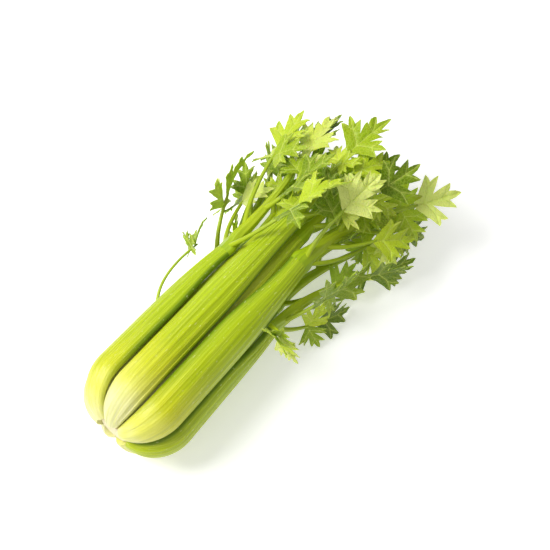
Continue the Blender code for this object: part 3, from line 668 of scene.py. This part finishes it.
def leafletOutline(lobes):  # its points, each with the lobe it belongs to, and the lobes' middles
    def way(degrees):
        angle = math.radians(degrees)
        return Vector((-math.sin(angle), math.cos(angle)))

    outline, hubs = [(Vector((-foot, 0.0)), 0)], []
    for k, (turn, reach, edges) in enumerate(lobes):
        hubs.append(leafCentre + way(turn) * hubShare * reach)
        outline += [(leafCentre + way(turn - off) * reach * share, k) for off, share in edges]
        if k < 2:
            outline.append((leafCentre + way((turn + lobes[k + 1][0]) / 2) * sinus, k + 0.5))
    outline.append((Vector((foot, 0.0)), 2))
    return outline, hubs


def leafletFaces(outline):
    count = centre = len(outline)
    faces = []
    for i in range(count - 1):
        lobe, after = outline[i][1], outline[i + 1][1]
        faces.append((i, i + 1, centre + 1 + int(after if lobe % 1 else lobe)))
    cuts = [0] + [i for i in range(count) if outline[i][1] % 1] + [count - 1]
    for k in range(3):
        faces.append((centre, cuts[k], centre + 1 + k))
        faces.append((centre, centre + 1 + k, cuts[k + 1]))
    faces.append((centre, count - 1, 0))
    return faces


def leafletPoints(form, lobes):
    outline, hubs = leafletOutline(lobes)
    matrix, size = form["matrix"], form["size"]
    placed = []
    for p in [place for place, _ in outline] + [leafCentre] + hubs:
        out = p - leafCentre
        ripple = math.sin(form["waves"] * math.atan2(out.x, out.y) + form["phase"])
        rise = form["fold"] * abs(p.x) - form["droop"] * p.y**2 + form["ripple"] * ripple * out.length_squared
        placed.append(matrix @ Vector((p.x * (size * form["wide"]), p.y * size, rise * size)))
    return placed, outline


def scatter(draw, reach):
    return Vector([draw.uniform(-1, 1) * reach for _ in range(3)])


def isNear(tree, points, gap):
    return any(tree.find_nearest(p, gap)[0] is not None for p in points)


class Foliage:  # keeps each stem and leaflet clear of those before it, as in the part's source
    def __init__(self):
        self.stalks = []
        for stalk in stalks.values():
            mesh = coarseStalk(stalk)
            faces = [tuple(p.vertices) for p in mesh.polygons]
            self.stalks.append(BVHTree.FromPolygons([v.co.copy() for v in mesh.vertices], faces))
            bpy.data.meshes.remove(mesh)
        self.stems = []  # the owner and the sampled line of each
        self.blades = []

    def stemIsClear(self, owner, points, radii, skip):
        mine = samples(points, radii)[skip:]
        for place, radius in mine:
            if place.z < radius + blade / 2 - axisHeight:
                return False
            if any(isNear(tree, [place], radius + stemClear) for tree in self.stalks):
                return False
        for other, line in self.stems:
            for place, radius in mine[ownSkip if other == owner else 0:]:
                if any((place - spot).length < radius + thick + stemClear for spot, thick in line):
                    return False
        return True

    def bladeIsClear(self, stem, whole, free, points):
        if min(p.z for p in points) < leafClear - axisHeight:
            return False
        for stalk in self.stalks:
            if stalk.overlap(whole) or isNear(stalk, points, leafClear):
                return False
        for _, line in self.stems:
            if line is not stem and any(isNear(whole, [place], radius + leafClear) for place, radius in line):
                return False
        for otherStem, otherWhole, otherFree, spots in self.blades:
            sibling = otherStem is stem
            mine, other = (free, otherFree) if sibling else (whole, otherWhole)
            if other.overlap(mine):
                return False
            if isNear(other, points[sibling * 2:], leafClear) or isNear(mine, spots[sibling * 2:], leafClear):
                return False
        return True

    def findStem(self, owner, key, lineTowards, radii, skip):
        draw = random.Random(key)
        for attempt in range(tries):
            points, arc = lineTowards(scatter(draw, attempt / tries))
            if self.stemIsClear(owner, points, radii, skip):
                return points, arc
        return (None, None) if "branch" in key else (points, arc)

    def addStem(self, owner, points, radii):
        line = samples(points, radii)
        self.stems.append((owner, line))
        return line

    def addLeaflet(self, stem, root, way, face, size, key):
        draw = random.Random(key)
        for attempt in range(tries):
            stray = 0.15 + 1.1 * attempt / tries
            shrink = 1 - 0.35 * attempt / tries
            forward = (way + scatter(draw, stray) * 0.8).normalized()
            upward = (face + scatter(draw, stray)).normalized()
            across = forward.cross(upward).normalized()
            upward = across.cross(forward)
            matrix = Matrix((across, forward, upward)).transposed().to_4x4()
            matrix.translation = root
            actual = size * shrink * draw.uniform(0.92, 1.08)
            lobes = largeLobes if actual > largeLeaflet else smallLobes
            form = {"matrix": matrix, "size": actual, "wide": draw.uniform(0.92, 1.12),
                    "fold": draw.uniform(0.10, 0.34), "droop": draw.uniform(0.02, 0.34),
                    "ripple": draw.uniform(0.05, 0.16), "waves": draw.choice((3, 4, 5)),
                    "phase": draw.uniform(0, 6.28), "lobes": lobes}
            points, outline = leafletPoints(form, lobes)
            faces = leafletFaces(outline)
            last = len(outline) - 1
            whole = BVHTree.FromPolygons(points, faces)
            free = BVHTree.FromPolygons(points, [f for f in faces if 0 not in f and last not in f])
            spots = [points[0], points[last]] + points[1:last] + points[last + 1:]
            for i in range(1, last - 1):
                steps = math.ceil((points[i + 1] - points[i]).length / sampleStep)
                spots += [points[i].lerp(points[i + 1], k / steps) for k in range(1, steps)]
            if self.bladeIsClear(stem, whole, free, spots):
                self.blades.append((stem, whole, free, spots))
                return form
        return None


def growLeaf(foliage, name):
    length, leanOut, leanSide, size, tipCount, branches = leafLines[name]
    length *= mm
    centre, forward, outward, sideways = jointFrame(stalks[name])
    start = centre + forward * jointGap
    aim = forward + outward * leanOut + sideways * leanSide
    wide, thin = ribRadii[stalks[name]["ring"]]
    wide = min(wide, start.z + axisHeight - blade)
    radii = [wide] + [thin + (wide - thin) * (1 - i / (ribPoints - 1)) ** ribTaper for i in range(ribPoints)]
    low = start + forward * collar

    def ribTowards(stray):
        arc = (low, start + forward * length * 0.45, start + (aim + stray) * length)
        return [start] + bend(arc, ribPoints), arc

    rib, ribArc = foliage.findStem(name, f"{name} rib", ribTowards, radii, ribSkip)
    stems = [(ribArc, (wide, thin))]
    tips = [(foliage.addStem(name, rib, radii), rib, tipCount, outward, "tip")]
    thick = evenly(branchRadii, branchPoints)
    for number, (share, side, reach, off, lift, count) in enumerate(branches):
        root, way = alongLine(rib, share)
        reach *= mm
        first = (way * 0.5 + sideways * side * off * 1.4 + outward * lift).normalized()

        def branchTowards(stray):
            turned = (way + sideways * side * off + outward * lift + stray).normalized()
            arc = (root, root + first * reach * 0.4, root + turned * reach)
            return bend(arc, branchPoints), arc

        line, arc = foliage.findStem(name, f"{name} branch {number}", branchTowards, thick, branchSkip)
        if line:
            stems.append((arc, branchRadii))
            tips.append((foliage.addStem(name, line, thick), line, count, outward, str(number)))
    return stems, tips, size * mm


def growShoot(foliage, name):
    angle, startX, endAngle, endX, out, size, (ahead, outwards) = shootLines[name]
    angle, endAngle = math.radians(angle), math.radians(endAngle)
    endRadius = outerRadius + out * mm
    middleX = startX * mm * 0.7 + endX * mm * 0.3
    arc = (around(startX * mm, outerRadius - 3 * mm, angle), around(middleX, endRadius + 7 * mm, angle),
           around(endX * mm, endRadius, endAngle))
    points = bend(arc, shootPoints)
    line = foliage.addStem(name, points, evenly(shootRadii, shootPoints))
    end, way = alongLine(points, 1.0)
    outward = around(0, 1, endAngle)
    forward = (Vector((ahead, 0, 0)) + outward * outwards).normalized()
    across = around(0, 1, endAngle + math.pi / 2)
    face = across.cross(outward) + outward * 0.3
    leaflets = []
    for side in (0, 1, -1):
        heading = (forward + across * side * 1.1).normalized()
        root = end - way * (pairBack["shoot"] if side else tipBack * mm)
        leaflets.append(foliage.addLeaflet(line, root, heading, face, size * mm, f"{name} {side}"))
    return [(arc, shootRadii)], [form for form in leaflets if form]


def growLeaflets(foliage, name, tips, size):
    leaflets = []
    for stem, line, count, outward, key in tips:
        end, way = alongLine(line, 1.0)
        across = way.cross(outward).normalized()
        face = across.cross(way).normalized() + Vector((0, 0, lightward if outward.z > lowestLit else 0))
        spots = [(end - way * tipBack * mm, way, 1.0)]
        low = end - way * pairBack["tip" if key == "tip" else "branch"]
        for side in (1, -1)[:count - 1]:
            spots.append((low, (way * 0.35 + across * side).normalized(), pairShare))
        for number, (root, forward, share) in enumerate(spots):
            leaflets.append(foliage.addLeaflet(stem, root, forward, face, size * share, f"{name} {key} {number}"))
    return [form for form in leaflets if form]


# Leaflets: one fine pattern of each kind, placed and bent over their own places by Geometry Nodes

leafletDetail = {
    "cuts": 6,  # a pattern's triangles are cut into this many rows
    "roundness": 0.15, "notch": 0.04,  # how far the edge swells between its teeth, and small teeth stand out
    "hollow": -0.04,  # the two sides that run down to the stem draw in instead
    "besideNotches": 0.35,  # the share of the roundness that is left beside the deep notches
    "freely": 1.2,  # an edge that runs straight out from its lobe's middle hardly swells, so that notches stay open
    "thickness": 0.011, "quilt": 0.016, "quiltSpan": 0.05,  # as shares of the leaflet's length
    "ridge": 0.010, "ridgeSpan": 0.02,  # veins stand out below
    "deeper": (0.14, 0.46), "uneven": (-0.06, 0.14),  # how far notches and teeth are drawn in
    "frill": 0.018, "frillWaves": (31, 27), "toneSpread": 0.48,
    # each leaf's base tone is partly painted light and shade: the middle ring and the low leaves outer_d, outer_e and
    # outer_f are darker, as painted shade where they lie under others, and outer_g, outer_a and the shoots are lighter,
    # as painted light; the heart's yellower tone is its own young colour
    "tones": {"outer_g": 0.92, "outer_a": 0.74, "outer_d": 0.44, "outer_e": 0.48, "outer_f": 0.48, "outer": 0.66,
              "middle": 0.36, "heart": 0.56, "shoot": 0.84},
}


def distanceTo(point, begin, end):
    step = end - begin
    t = max(0.0, min(1.0, (point - begin).dot(step) / step.length_squared))
    return (point - begin - step * t).length


def leafletPattern(name, lobes, detail):
    outline, hubs = leafletOutline(lobes)
    flat = [p for p, _ in outline] + [leafCentre] + hubs
    count = len(outline)
    draw = random.Random("pattern " + name)
    veins = [(Vector((0.0, 0.0)), leafCentre)] + [(leafCentre, hub) for hub in hubs]
    between = []  # the deep notches between lobes
    tooth = 0
    for i, (_, lobe) in enumerate(outline[1:-1], 1):  # notches are cut deeper than in the solids, each by its own share
        if lobe % 1:
            flat[i] = flat[i].lerp(leafCentre, draw.uniform(*detail["deeper"]))
            between.append(i)
            tooth = 0
            continue
        flat[i] = flat[i].lerp(hubs[lobe], draw.uniform(*detail["deeper" if tooth % 2 else "uneven"]))
        if tooth % 2 == 0:
            veins.append((hubs[lobe], flat[i]))
        tooth += 1
    spots, rows, faces = {}, [], []

    def spot(place):
        key = (round(place.x, 5), round(place.y, 5))
        if key not in spots:
            spots[key] = len(rows)
            rows.append(place)
        return spots[key]

    n = detail["cuts"]
    for a, b, c in leafletFaces(outline):
        rim = b == a + 1 and b < count
        if rim:
            along = flat[b] - flat[a]
            depth = along.cross(flat[a] - flat[c]) / along.length_squared
            swell = Vector((-along.y, along.x)) * smooth(detail["freely"] * depth)
            rounding, toothing = detail["roundness"], detail["notch"]
            if a in between or b in between:
                rounding, toothing = detail["besideNotches"] * rounding, 0.0
            if a == 0 or b == count - 1:
                rounding = detail["hollow"]
        grid = {}
        for i in range(n + 1):
            for j in range(n + 1 - i):
                wa, wb = i / n, j / n
                place = flat[a] * wa + flat[b] * wb + flat[c] * (1 - wa - wb)
                if rim and wa + wb > 0:
                    along = wb / (wa + wb)
                    out = rounding * math.sin(math.pi * along)
                    out += toothing * (round(along * n) % 2) * (0 < along < 1)
                    place = place + swell * out * (wa + wb) ** 3
                grid[i, j] = spot(place)
        for i in range(n):
            for j in range(n - i):
                faces.append((grid[i, j], grid[i + 1, j], grid[i, j + 1]))
                if j < n - i - 1:
                    faces.append((grid[i + 1, j], grid[i + 1, j + 1], grid[i, j + 1]))
    for k, (a, b, c) in enumerate(faces):
        if (rows[b] - rows[a]).cross(rows[c] - rows[a]) < 0:
            faces[k] = (a, c, b)
    edges = [edge for a, b, c in faces for edge in ((a, b), (b, c), (c, a))]
    inside = set(edges)
    spans = [min(distanceTo(place, *vein) for vein in veins) for place in rows]
    size = len(rows)
    places = []
    acrossWaves, alongWaves = detail["frillWaves"]
    for side in (1, -1):
        for place, reach in zip(rows, spans):
            lift = detail["quilt"] * smooth(reach / detail["quiltSpan"])
            out = min(1.0, 5 * (place - leafCentre).length_squared)
            lift += detail["frill"] * math.sin(acrossWaves * place.x + 2) * math.sin(alongWaves * place.y) * out
            ridge = detail["ridge"] * max(0.0, 1 - reach / detail["ridgeSpan"]) * (side < 0)
            places.append((place.x, place.y, side * detail["thickness"] / 2 + lift - ridge))
    faces += [(c + size, b + size, a + size) for a, b, c in faces]
    for a, b in edges:
        if (b, a) not in inside:
            faces += [(b, a, a + size), (b, a + size, b + size)]
    mesh = bpy.data.meshes.new(name)
    mesh.from_pydata(places, [], faces)
    setValues(mesh, "veinSpan", spans * 2)
    setValues(mesh, "under", [0.0] * size + [1.0] * size)
    setValues(mesh, "leafPlace", [(x, y, 0.0) for x, y, _ in places], "FLOAT_VECTOR")
    print(name, len(faces), "triangles")
    return bpy.data.objects.new(name, mesh)


def leafletTree():  # instances the patterns on the roots of a leaf's leaflets, then folds, droops and ripples each
    tree = bpy.data.node_groups.new("leafletsOnRoots", "GeometryNodeTree")
    for name, kind in (("Geometry", "Geometry"), ("Patterns", "Collection"), ("Thickness", "Float"),
                       ("Fold", "Float"), ("Ripple", "Float"), ("Skin", "Material")):
        tree.interface.new_socket(name, in_out="INPUT", socket_type="NodeSocket" + kind)
    tree.interface.new_socket("Geometry", in_out="OUTPUT", socket_type="NodeSocketGeometry")
    nodes = Nodes(tree)
    given = nodes.add("NodeGroupInput", {}).outputs

    def named(name, kind="FLOAT"):
        return nodes.add("GeometryNodeInputNamedAttribute", {"Name": name}, data_type=kind).outputs["Attribute"]

    size = named("size")
    scale = nodes.add("ShaderNodeCombineXYZ", {0: nodes.times(size, named("wide")), 1: size,
                                               2: nodes.times(size, given["Thickness"])})
    turn = nodes.add("FunctionNodeEulerToRotation", {0: named("turn", "FLOAT_VECTOR")})
    patterns = nodes.add("GeometryNodeCollectionInfo", {
        "Collection": given["Patterns"], "Separate Children": True, "Reset Children": True})
    place = nodes.add("GeometryNodeInstanceOnPoints", {
        "Points": given["Geometry"], "Instance": patterns.outputs[0], "Pick Instance": True,
        "Instance Index": named("kind", "INT"), "Rotation": turn.outputs[0], "Scale": scale.outputs[0]})
    real = nodes.add("GeometryNodeRealizeInstances", {0: place.outputs[0]})
    unit = nodes.add("ShaderNodeSeparateXYZ", {0: named("leafPlace", "FLOAT_VECTOR")}).outputs
    x, y = unit[0], nodes.math("SUBTRACT", unit[1], leafCentre.y)
    fold = nodes.times(nodes.times(named("fold"), given["Fold"]), nodes.math("ABSOLUTE", x))
    droop = nodes.times(named("droop"), nodes.times(unit[1], unit[1]))
    wave = nodes.plus(nodes.times(named("waves"), nodes.math("ARCTAN2", x, y)), named("phase"))
    reach = nodes.plus(nodes.times(x, x), nodes.times(y, y))
    ripple = nodes.times(nodes.times(named("ripple"), given["Ripple"]), nodes.times(nodes.math("SINE", wave), reach))
    rise = nodes.times(nodes.plus(nodes.math("SUBTRACT", fold, droop), ripple), size)
    offset = nodes.add("ShaderNodeVectorMath", {0: named("faceUp", "FLOAT_VECTOR"), "Scale": rise},
                       operation="SCALE")
    move = nodes.add("GeometryNodeSetPosition", {"Geometry": real.outputs[0], "Offset": offset.outputs[0]})
    cover = nodes.add("GeometryNodeSetMaterial", {"Geometry": move.outputs[0], "Material": given["Skin"]})
    nodes.add("NodeGroupOutput", {0: cover.outputs[0]})
    return tree


patternKinds = 3  # of large and of small leaflets each; the collection gives them by name, large ones first
leafletPatterns = bpy.data.collections.new("leafletPatterns")
for number in range(patternKinds):
    leafletPatterns.objects.link(leafletPattern(f"largeLeaflet{number}", largeLobes, leafletDetail))
    leafletPatterns.objects.link(leafletPattern(f"smallLeaflet{number}", smallLobes, leafletDetail))
leafletNodes = leafletTree()
leafletInputs = {"Patterns": leafletPatterns, "Thickness": 1.0, "Fold": 1.0, "Ripple": 1.4, "Skin": leafSkin}


def leafletsMesh(name, forms):  # the mesh of one leaf's leaflets, with the sizes and tones of each
    draw = random.Random("tones " + name)
    roots = bpy.data.meshes.new("roots")
    roots.from_pydata([form["matrix"].translation + headStart for form in forms], [], [])
    turns = [form["matrix"].to_3x3() for form in forms]
    setValues(roots, "turn", [tuple(turn.to_euler("XYZ")) for turn in turns], "FLOAT_VECTOR")
    setValues(roots, "faceUp", [tuple(turn.col[2]) for turn in turns], "FLOAT_VECTOR")
    for key in ("size", "wide", "fold", "droop", "ripple", "waves", "phase"):
        setValues(roots, key, [form[key] for form in forms])
    kinds = [draw.randrange(patternKinds) + patternKinds * (form["lobes"] is smallLobes) for form in forms]
    setValues(roots, "kind", kinds, "INT")
    base = next(tone for part, tone in leafletDetail["tones"].items() if part in name)  # the first that fits
    setValues(roots, "tone", [base + draw.uniform(-1, 1) * leafletDetail["toneSpread"] for _ in forms])
    setValues(roots, "number", range(len(forms)))
    holder = addObject("roots", roots)
    grow = holder.modifiers.new("leaflets", "NODES")
    grow.node_group = leafletNodes
    for item in leafletNodes.interface.items_tree:
        if item.in_out == "INPUT" and item.name in leafletInputs:
            grow[item.identifier] = leafletInputs[item.name]
    bpy.context.view_layer.update()
    mesh = bpy.data.meshes.new_from_object(holder.evaluated_get(bpy.context.evaluated_depsgraph_get()))
    holder.modifiers.clear()
    bpy.data.objects.remove(holder)
    return mesh


# Stems: lofts along the arcs of the growth; a main rib starts as its stalk's own crescent and turns round

stemDetail = {
    "ribStations": 40, "branchStations": 22, "branchPoints": 14, "roundOver": 26 * mm, "sink": 0.9 * mm,
    "joint": 0.14, "jointAt": 5 * mm, "jointLength": 4.5 * mm,  # the swelling above a stalk's top
    "branchSwell": 0.55, "branchSwellLength": 7 * mm,  # and at a branch's foot
    "furrows": 0.05, "furrowCount": 7, "groove": 0.26, "tipNarrowing": 0.35,
    "leafletSpacing": 0.06,  # between a leaf's leaflets on the skin's map, so that no two look the same
    "section": {"pointsPerRib": 6, "innerPoints": 15},
}


def stemLoft(arc, radii, sideways, outward, detail, stalk=None):
    wide, thin = radii
    length = (arc[1] - arc[0]).length + (arc[2] - arc[1]).length
    stations, lead = (detail["ribStations"], 1) if stalk else (detail["branchStations"], 0)
    if stalk:
        centre, forward, _, _ = jointFrame(stalk)
        phases = {"ribPhase": 0.0, "stringPhase": 0.0, "wavePhase": 0.0, "relief": 1.0}
        section = [row[0] - centre for row in fineSection(stalk, 1.0, phases, {**stalkDetail, **detail["section"]})]
        section = [(p.dot(sideways), p.dot(outward)) for p in section]
        back = detail["section"]["pointsPerRib"] * stalk["ribs"]
        inner = detail["section"]["innerPoints"]
        angles = [math.pi * (1 - i / back) for i in range(back + 1)]
        angles += [-math.pi * (i + 0.5) / inner for i in range(inner)]
    else:
        angles = [2 * math.pi * i / detail["branchPoints"] for i in range(detail["branchPoints"])]
    places, ups, skin = [], [], []
    for k in range(stations + lead):
        t = max(0.0, (k - lead) / (stations - 1))
        t = t * (0.35 + 0.65 * t) if stalk else t  # closer stations where the crescent turns round
        place = centre - forward * detail["sink"] if k < lead else arcPoint(arc, t)
        way = arcWay(arc, t)
        up = (outward - way * outward.dot(way)).normalized()
        side = up.cross(way)
        if side.dot(sideways) < 0:
            side = -side
        run = t * length + (collar if stalk and k else 0.0)
        radius = thin + (wide - thin) * (1 - t) ** (ribTaper if stalk else 1.0)
        if stalk:
            joint = detail["joint"] * math.exp(-((run - detail["jointAt"]) / detail["jointLength"]) ** 2)
            turned = smooth(run / detail["roundOver"])
        else:
            joint = detail["branchSwell"] * math.exp(-run / detail["branchSwellLength"])
            turned = 1.0
        radius *= 1 + joint
        radius *= 1 - detail["tipNarrowing"] * smooth((t - 0.9) / 0.1)
        for i, angle in enumerate(angles):
            furrow = detail["furrows"] * math.cos(detail["furrowCount"] * angle)
            reach = radius * (1 + furrow * (0.4 + 0.6 * turned))
            reach *= 1 - detail["groove"] * max(0.0, math.cos(angle + math.pi / 2)) ** 4 * turned
            a, b = reach * math.cos(angle), reach * math.sin(angle)
            if stalk:
                swell = 1 + 0.5 * joint
                a = section[i][0] * swell * (1 - turned) + a * turned
                b = section[i][1] * swell * (1 - turned) + b * turned
            spot = place + side * a + up * b
            spot.z = max(spot.z, 0.02 * mm - axisHeight)
            places.append(spot + headStart)
            skin.append((angle * max(wide, 2 * mm), run))
            ups.append(run / length if stalk else 0.5 + 0.5 * t)
    size, total = len(angles), len(places)
    faces = ringFaces(stations + lead, size)
    faces.append(tuple(range(size - 1, -1, -1)))
    faces += [(total - size + i, total - size + (i + 1) % size, total) for i in range(size)]  # up to a pointed end
    places.append(arcPoint(arc, 1.0) + arcWay(arc, 1.0) * radius * 0.5 + headStart)
    return places, faces, ups + [1.0], skin + [(0.0, length)]


def leafPiece(name, node, stems, forms, stalk=None):
    outward, sideways = Vector((0, 0, 1)), Vector((0, 1, 0))
    if stalk:
        _, _, outward, sideways = jointFrame(stalk)
    places, faces, ups, skin = [], [], [], []
    for number, (arc, radii) in enumerate(stems):
        owner = None if number else stalk  # only the rib starts on the stalk
        newPlaces, newFaces, newUps, newSkin = stemLoft(arc, radii, sideways, outward, stemDetail, owner)
        faces += [tuple(i + len(places) for i in face) for face in newFaces]
        places += newPlaces
        ups += newUps
        skin += newSkin
    leaves = leafletsMesh(name, forms)
    keys = ("size", "number", "tone", "veinSpan", "under")
    sizes, number, tone, span, under = (readValues(leaves.attributes[key].data, "value") for key in keys)
    unit = readValues(leaves.attributes["leafPlace"].data, "vector", 3)
    stemCount, slots = len(places), [1] * len(faces) + [0] * len(leaves.polygons)
    faces += (readValues(leaves.loops, "vertex_index", kind=np.int32).reshape(-1, 3) + stemCount).tolist()
    places += readValues(leaves.vertices, "co", 3).tolist()
    across = unit[:, 0] * sizes + number * stemDetail["leafletSpacing"]
    skin += np.stack((across, unit[:, 1] * sizes), axis=1).tolist()
    bpy.data.meshes.remove(leaves)
    mesh = closedMesh(name, places, faces, slots)
    for key, onStems, onLeaflets in (("up", ups, np.ones(len(tone))), ("tone", 0.5, tone),
                                     ("veinSpan", 1.0, span * sizes), ("under", 0.0, under)):
        setValues(mesh, key, np.append(np.full(stemCount, onStems), onLeaflets))
    setSkinMap(mesh, skin)
    finishPiece(name, mesh, [leafSkin, stemSkin], node, "leaf_green", 1.0)
    print(name, len(forms), "leaflets")


foliage = Foliage()
grown = {name: growLeaf(foliage, name) for name in leafLines}
for name, (stems, tips, size) in grown.items():
    leafPiece("foliage_" + name, "leaf_" + name, stems, growLeaflets(foliage, name, tips, size), stalks[name])
for name in shootLines:
    leafPiece("foliage_" + name, name, *growShoot(foliage, name))
for pattern in list(leafletPatterns.objects):
    mesh = pattern.data
    bpy.data.objects.remove(pattern)
    bpy.data.meshes.remove(mesh)
print("leaves made")


# Cut root: the same turned outline as the solid's, with its rings cut fine

rootDetail = {
    "turns": 72, "step": 0.7, "dish": 0.9, "rough": 0.35,
    "profile": ((4.0, 0), (4.0, 11.6), (5.0, 13.0), (11.8, 14.8), (13.6, 12.8), (22.4, 12.6), (24.6, 6.2),
                (31.4, 6.0), (33.0, 0)),  # along the head and out from its axis, in mm
}


def cutRoot(detail):
    draw = random.Random("cut root")
    phases = [draw.uniform(0, 6.28) for _ in range(4)]
    outline, turns = detail["profile"], detail["turns"]
    faceRadius, length = outline[1][1], outline[-1][0]
    profile = []
    for (x0, r0), (x1, r1) in zip(outline, outline[1:]):
        steps = max(2, int(math.hypot(x1 - x0, r1 - r0) / detail["step"]))
        profile += [(x0 + (x1 - x0) * i / steps, r0 + (r1 - r0) * i / steps) for i in range(steps)]
    profile = profile[1:]
    places = [(headStart.x + rootFace + detail["dish"] * mm, headStart.y, headStart.z)]
    for x, r in profile:
        for k in range(turns):
            angle = 2 * math.pi * k / turns
            flat = max(0.0, 1 - (x - rootFace / mm) / 1.2)
            dip = flat * detail["dish"] * (1 - (min(r, faceRadius) / faceRadius) ** 2)
            bump = detail["rough"] * math.sin(5 * angle + phases[0] + r * 0.7) * math.sin(r * 1.3 + phases[1])
            x2 = x + dip + flat * (0.25 + 0.25 * bump)
            r2 = r * (1 - 0.012 * (1 + math.sin(7 * angle + phases[2])))
            places.append(tuple(around(x2 * mm, r2 * mm, angle) + headStart))
    end = len(places)
    places.append((headStart.x + length * mm, headStart.y, headStart.z))
    faces = [(0, 1 + (k + 1) % turns, 1 + k) for k in range(turns)]
    faces += ringFaces(len(profile), turns, 1)
    faces += [(end - turns + k, end - turns + (k + 1) % turns, end) for k in range(turns)]
    finishPiece("cut_root", closedMesh("cutRoot", places, faces), [rootSkin], "root_plate", "root_cream")


cutRoot(rootDetail)
print("root made")


# Floor, light and camera

stageSetup = {
    "floor": (0.92, 0.92, 0.91, 1.0), "floorSize": 6.0, "floorRoughness": 0.8, "glow": 0.42,
    "world": 0.34, "backdrop": 0.76,  # the backdrop looks as light as the far floor
    "lights": {  # azimuth, elevation, distance, size, power
        "key": (222.0, 56.0, 1.6, 0.8, 22.0),
        "fill": (-70.0, 50.0, 1.8, 1.2, 3.2),
        "back": (150.0, 44.0, 1.7, 0.8, 2.6),
    },
}
viewSetup = {"azimuth": -50.0, "elevation": 64.0, "distance": 1.08, "centre": (0.0, 0.0, 0.05),
             "lens": 85.0, "sensor": 36.0, "shift": (0.035, 0.02)}


def makeFloor(setup):
    mesh = bpy.data.meshes.new("floor")
    half = setup["floorSize"] / 2
    mesh.from_pydata([(-half, -half, 0), (half, -half, 0), (half, half, 0), (-half, half, 0)], [], [(0, 1, 2, 3)])
    mesh.materials.append(Skin("paleFloor").shade({
        "Base Color": setup["floor"], "Roughness": setup["floorRoughness"],
        "Emission Color": setup["floor"], "Emission Strength": setup["glow"]}))
    addObject("floor", mesh)


def makeAimed(name, data, azimuth, elevation, distance, centre=(0.0, 0.0, 0.0)):  # set back from the centre it faces
    thing = addObject(name, data)
    azimuth, elevation = math.radians(azimuth), math.radians(elevation)
    way = Vector((math.sin(azimuth) * math.cos(elevation), -math.cos(azimuth) * math.cos(elevation),
                  math.sin(elevation)))
    thing.location = Vector(centre) + way * distance
    thing.rotation_euler = way.to_track_quat("Z", "Y").to_euler()
    return thing


def makeLights(setup):
    for name, (azimuth, elevation, distance, size, power) in setup["lights"].items():
        data = bpy.data.lights.new(name, "AREA")
        data.shape = "DISK"
        data.size = size
        data.energy = power
        makeAimed(name, data, azimuth, elevation, distance)


def makeWorld(setup):
    world = bpy.data.worlds.new("studio")
    world.use_nodes = True
    nodes = Nodes(world.node_tree)
    seen = nodes.add("ShaderNodeLightPath", {}).outputs["Is Camera Ray"]
    bright = nodes.add("ShaderNodeMapRange", {"Value": seen, "To Min": setup["world"], "To Max": setup["backdrop"]})
    nodes.fill(world.node_tree.nodes["Background"], {0: (1.0, 1.0, 1.0, 1.0), 1: bright.outputs["Result"]})
    bpy.context.scene.world = world


def makeCamera(setup):
    data = bpy.data.cameras.new("camera")
    data.lens = setup["lens"]
    data.sensor_width = setup["sensor"]
    data.shift_x, data.shift_y = setup["shift"]
    bpy.context.scene.camera = makeAimed("camera", data, setup["azimuth"], setup["elevation"],
                                         setup["distance"], setup["centre"])


makeFloor(stageSetup)
makeLights(stageSetup)
makeWorld(stageSetup)
bpy.context.scene.view_settings.view_transform = "Standard"
makeCamera(viewSetup)
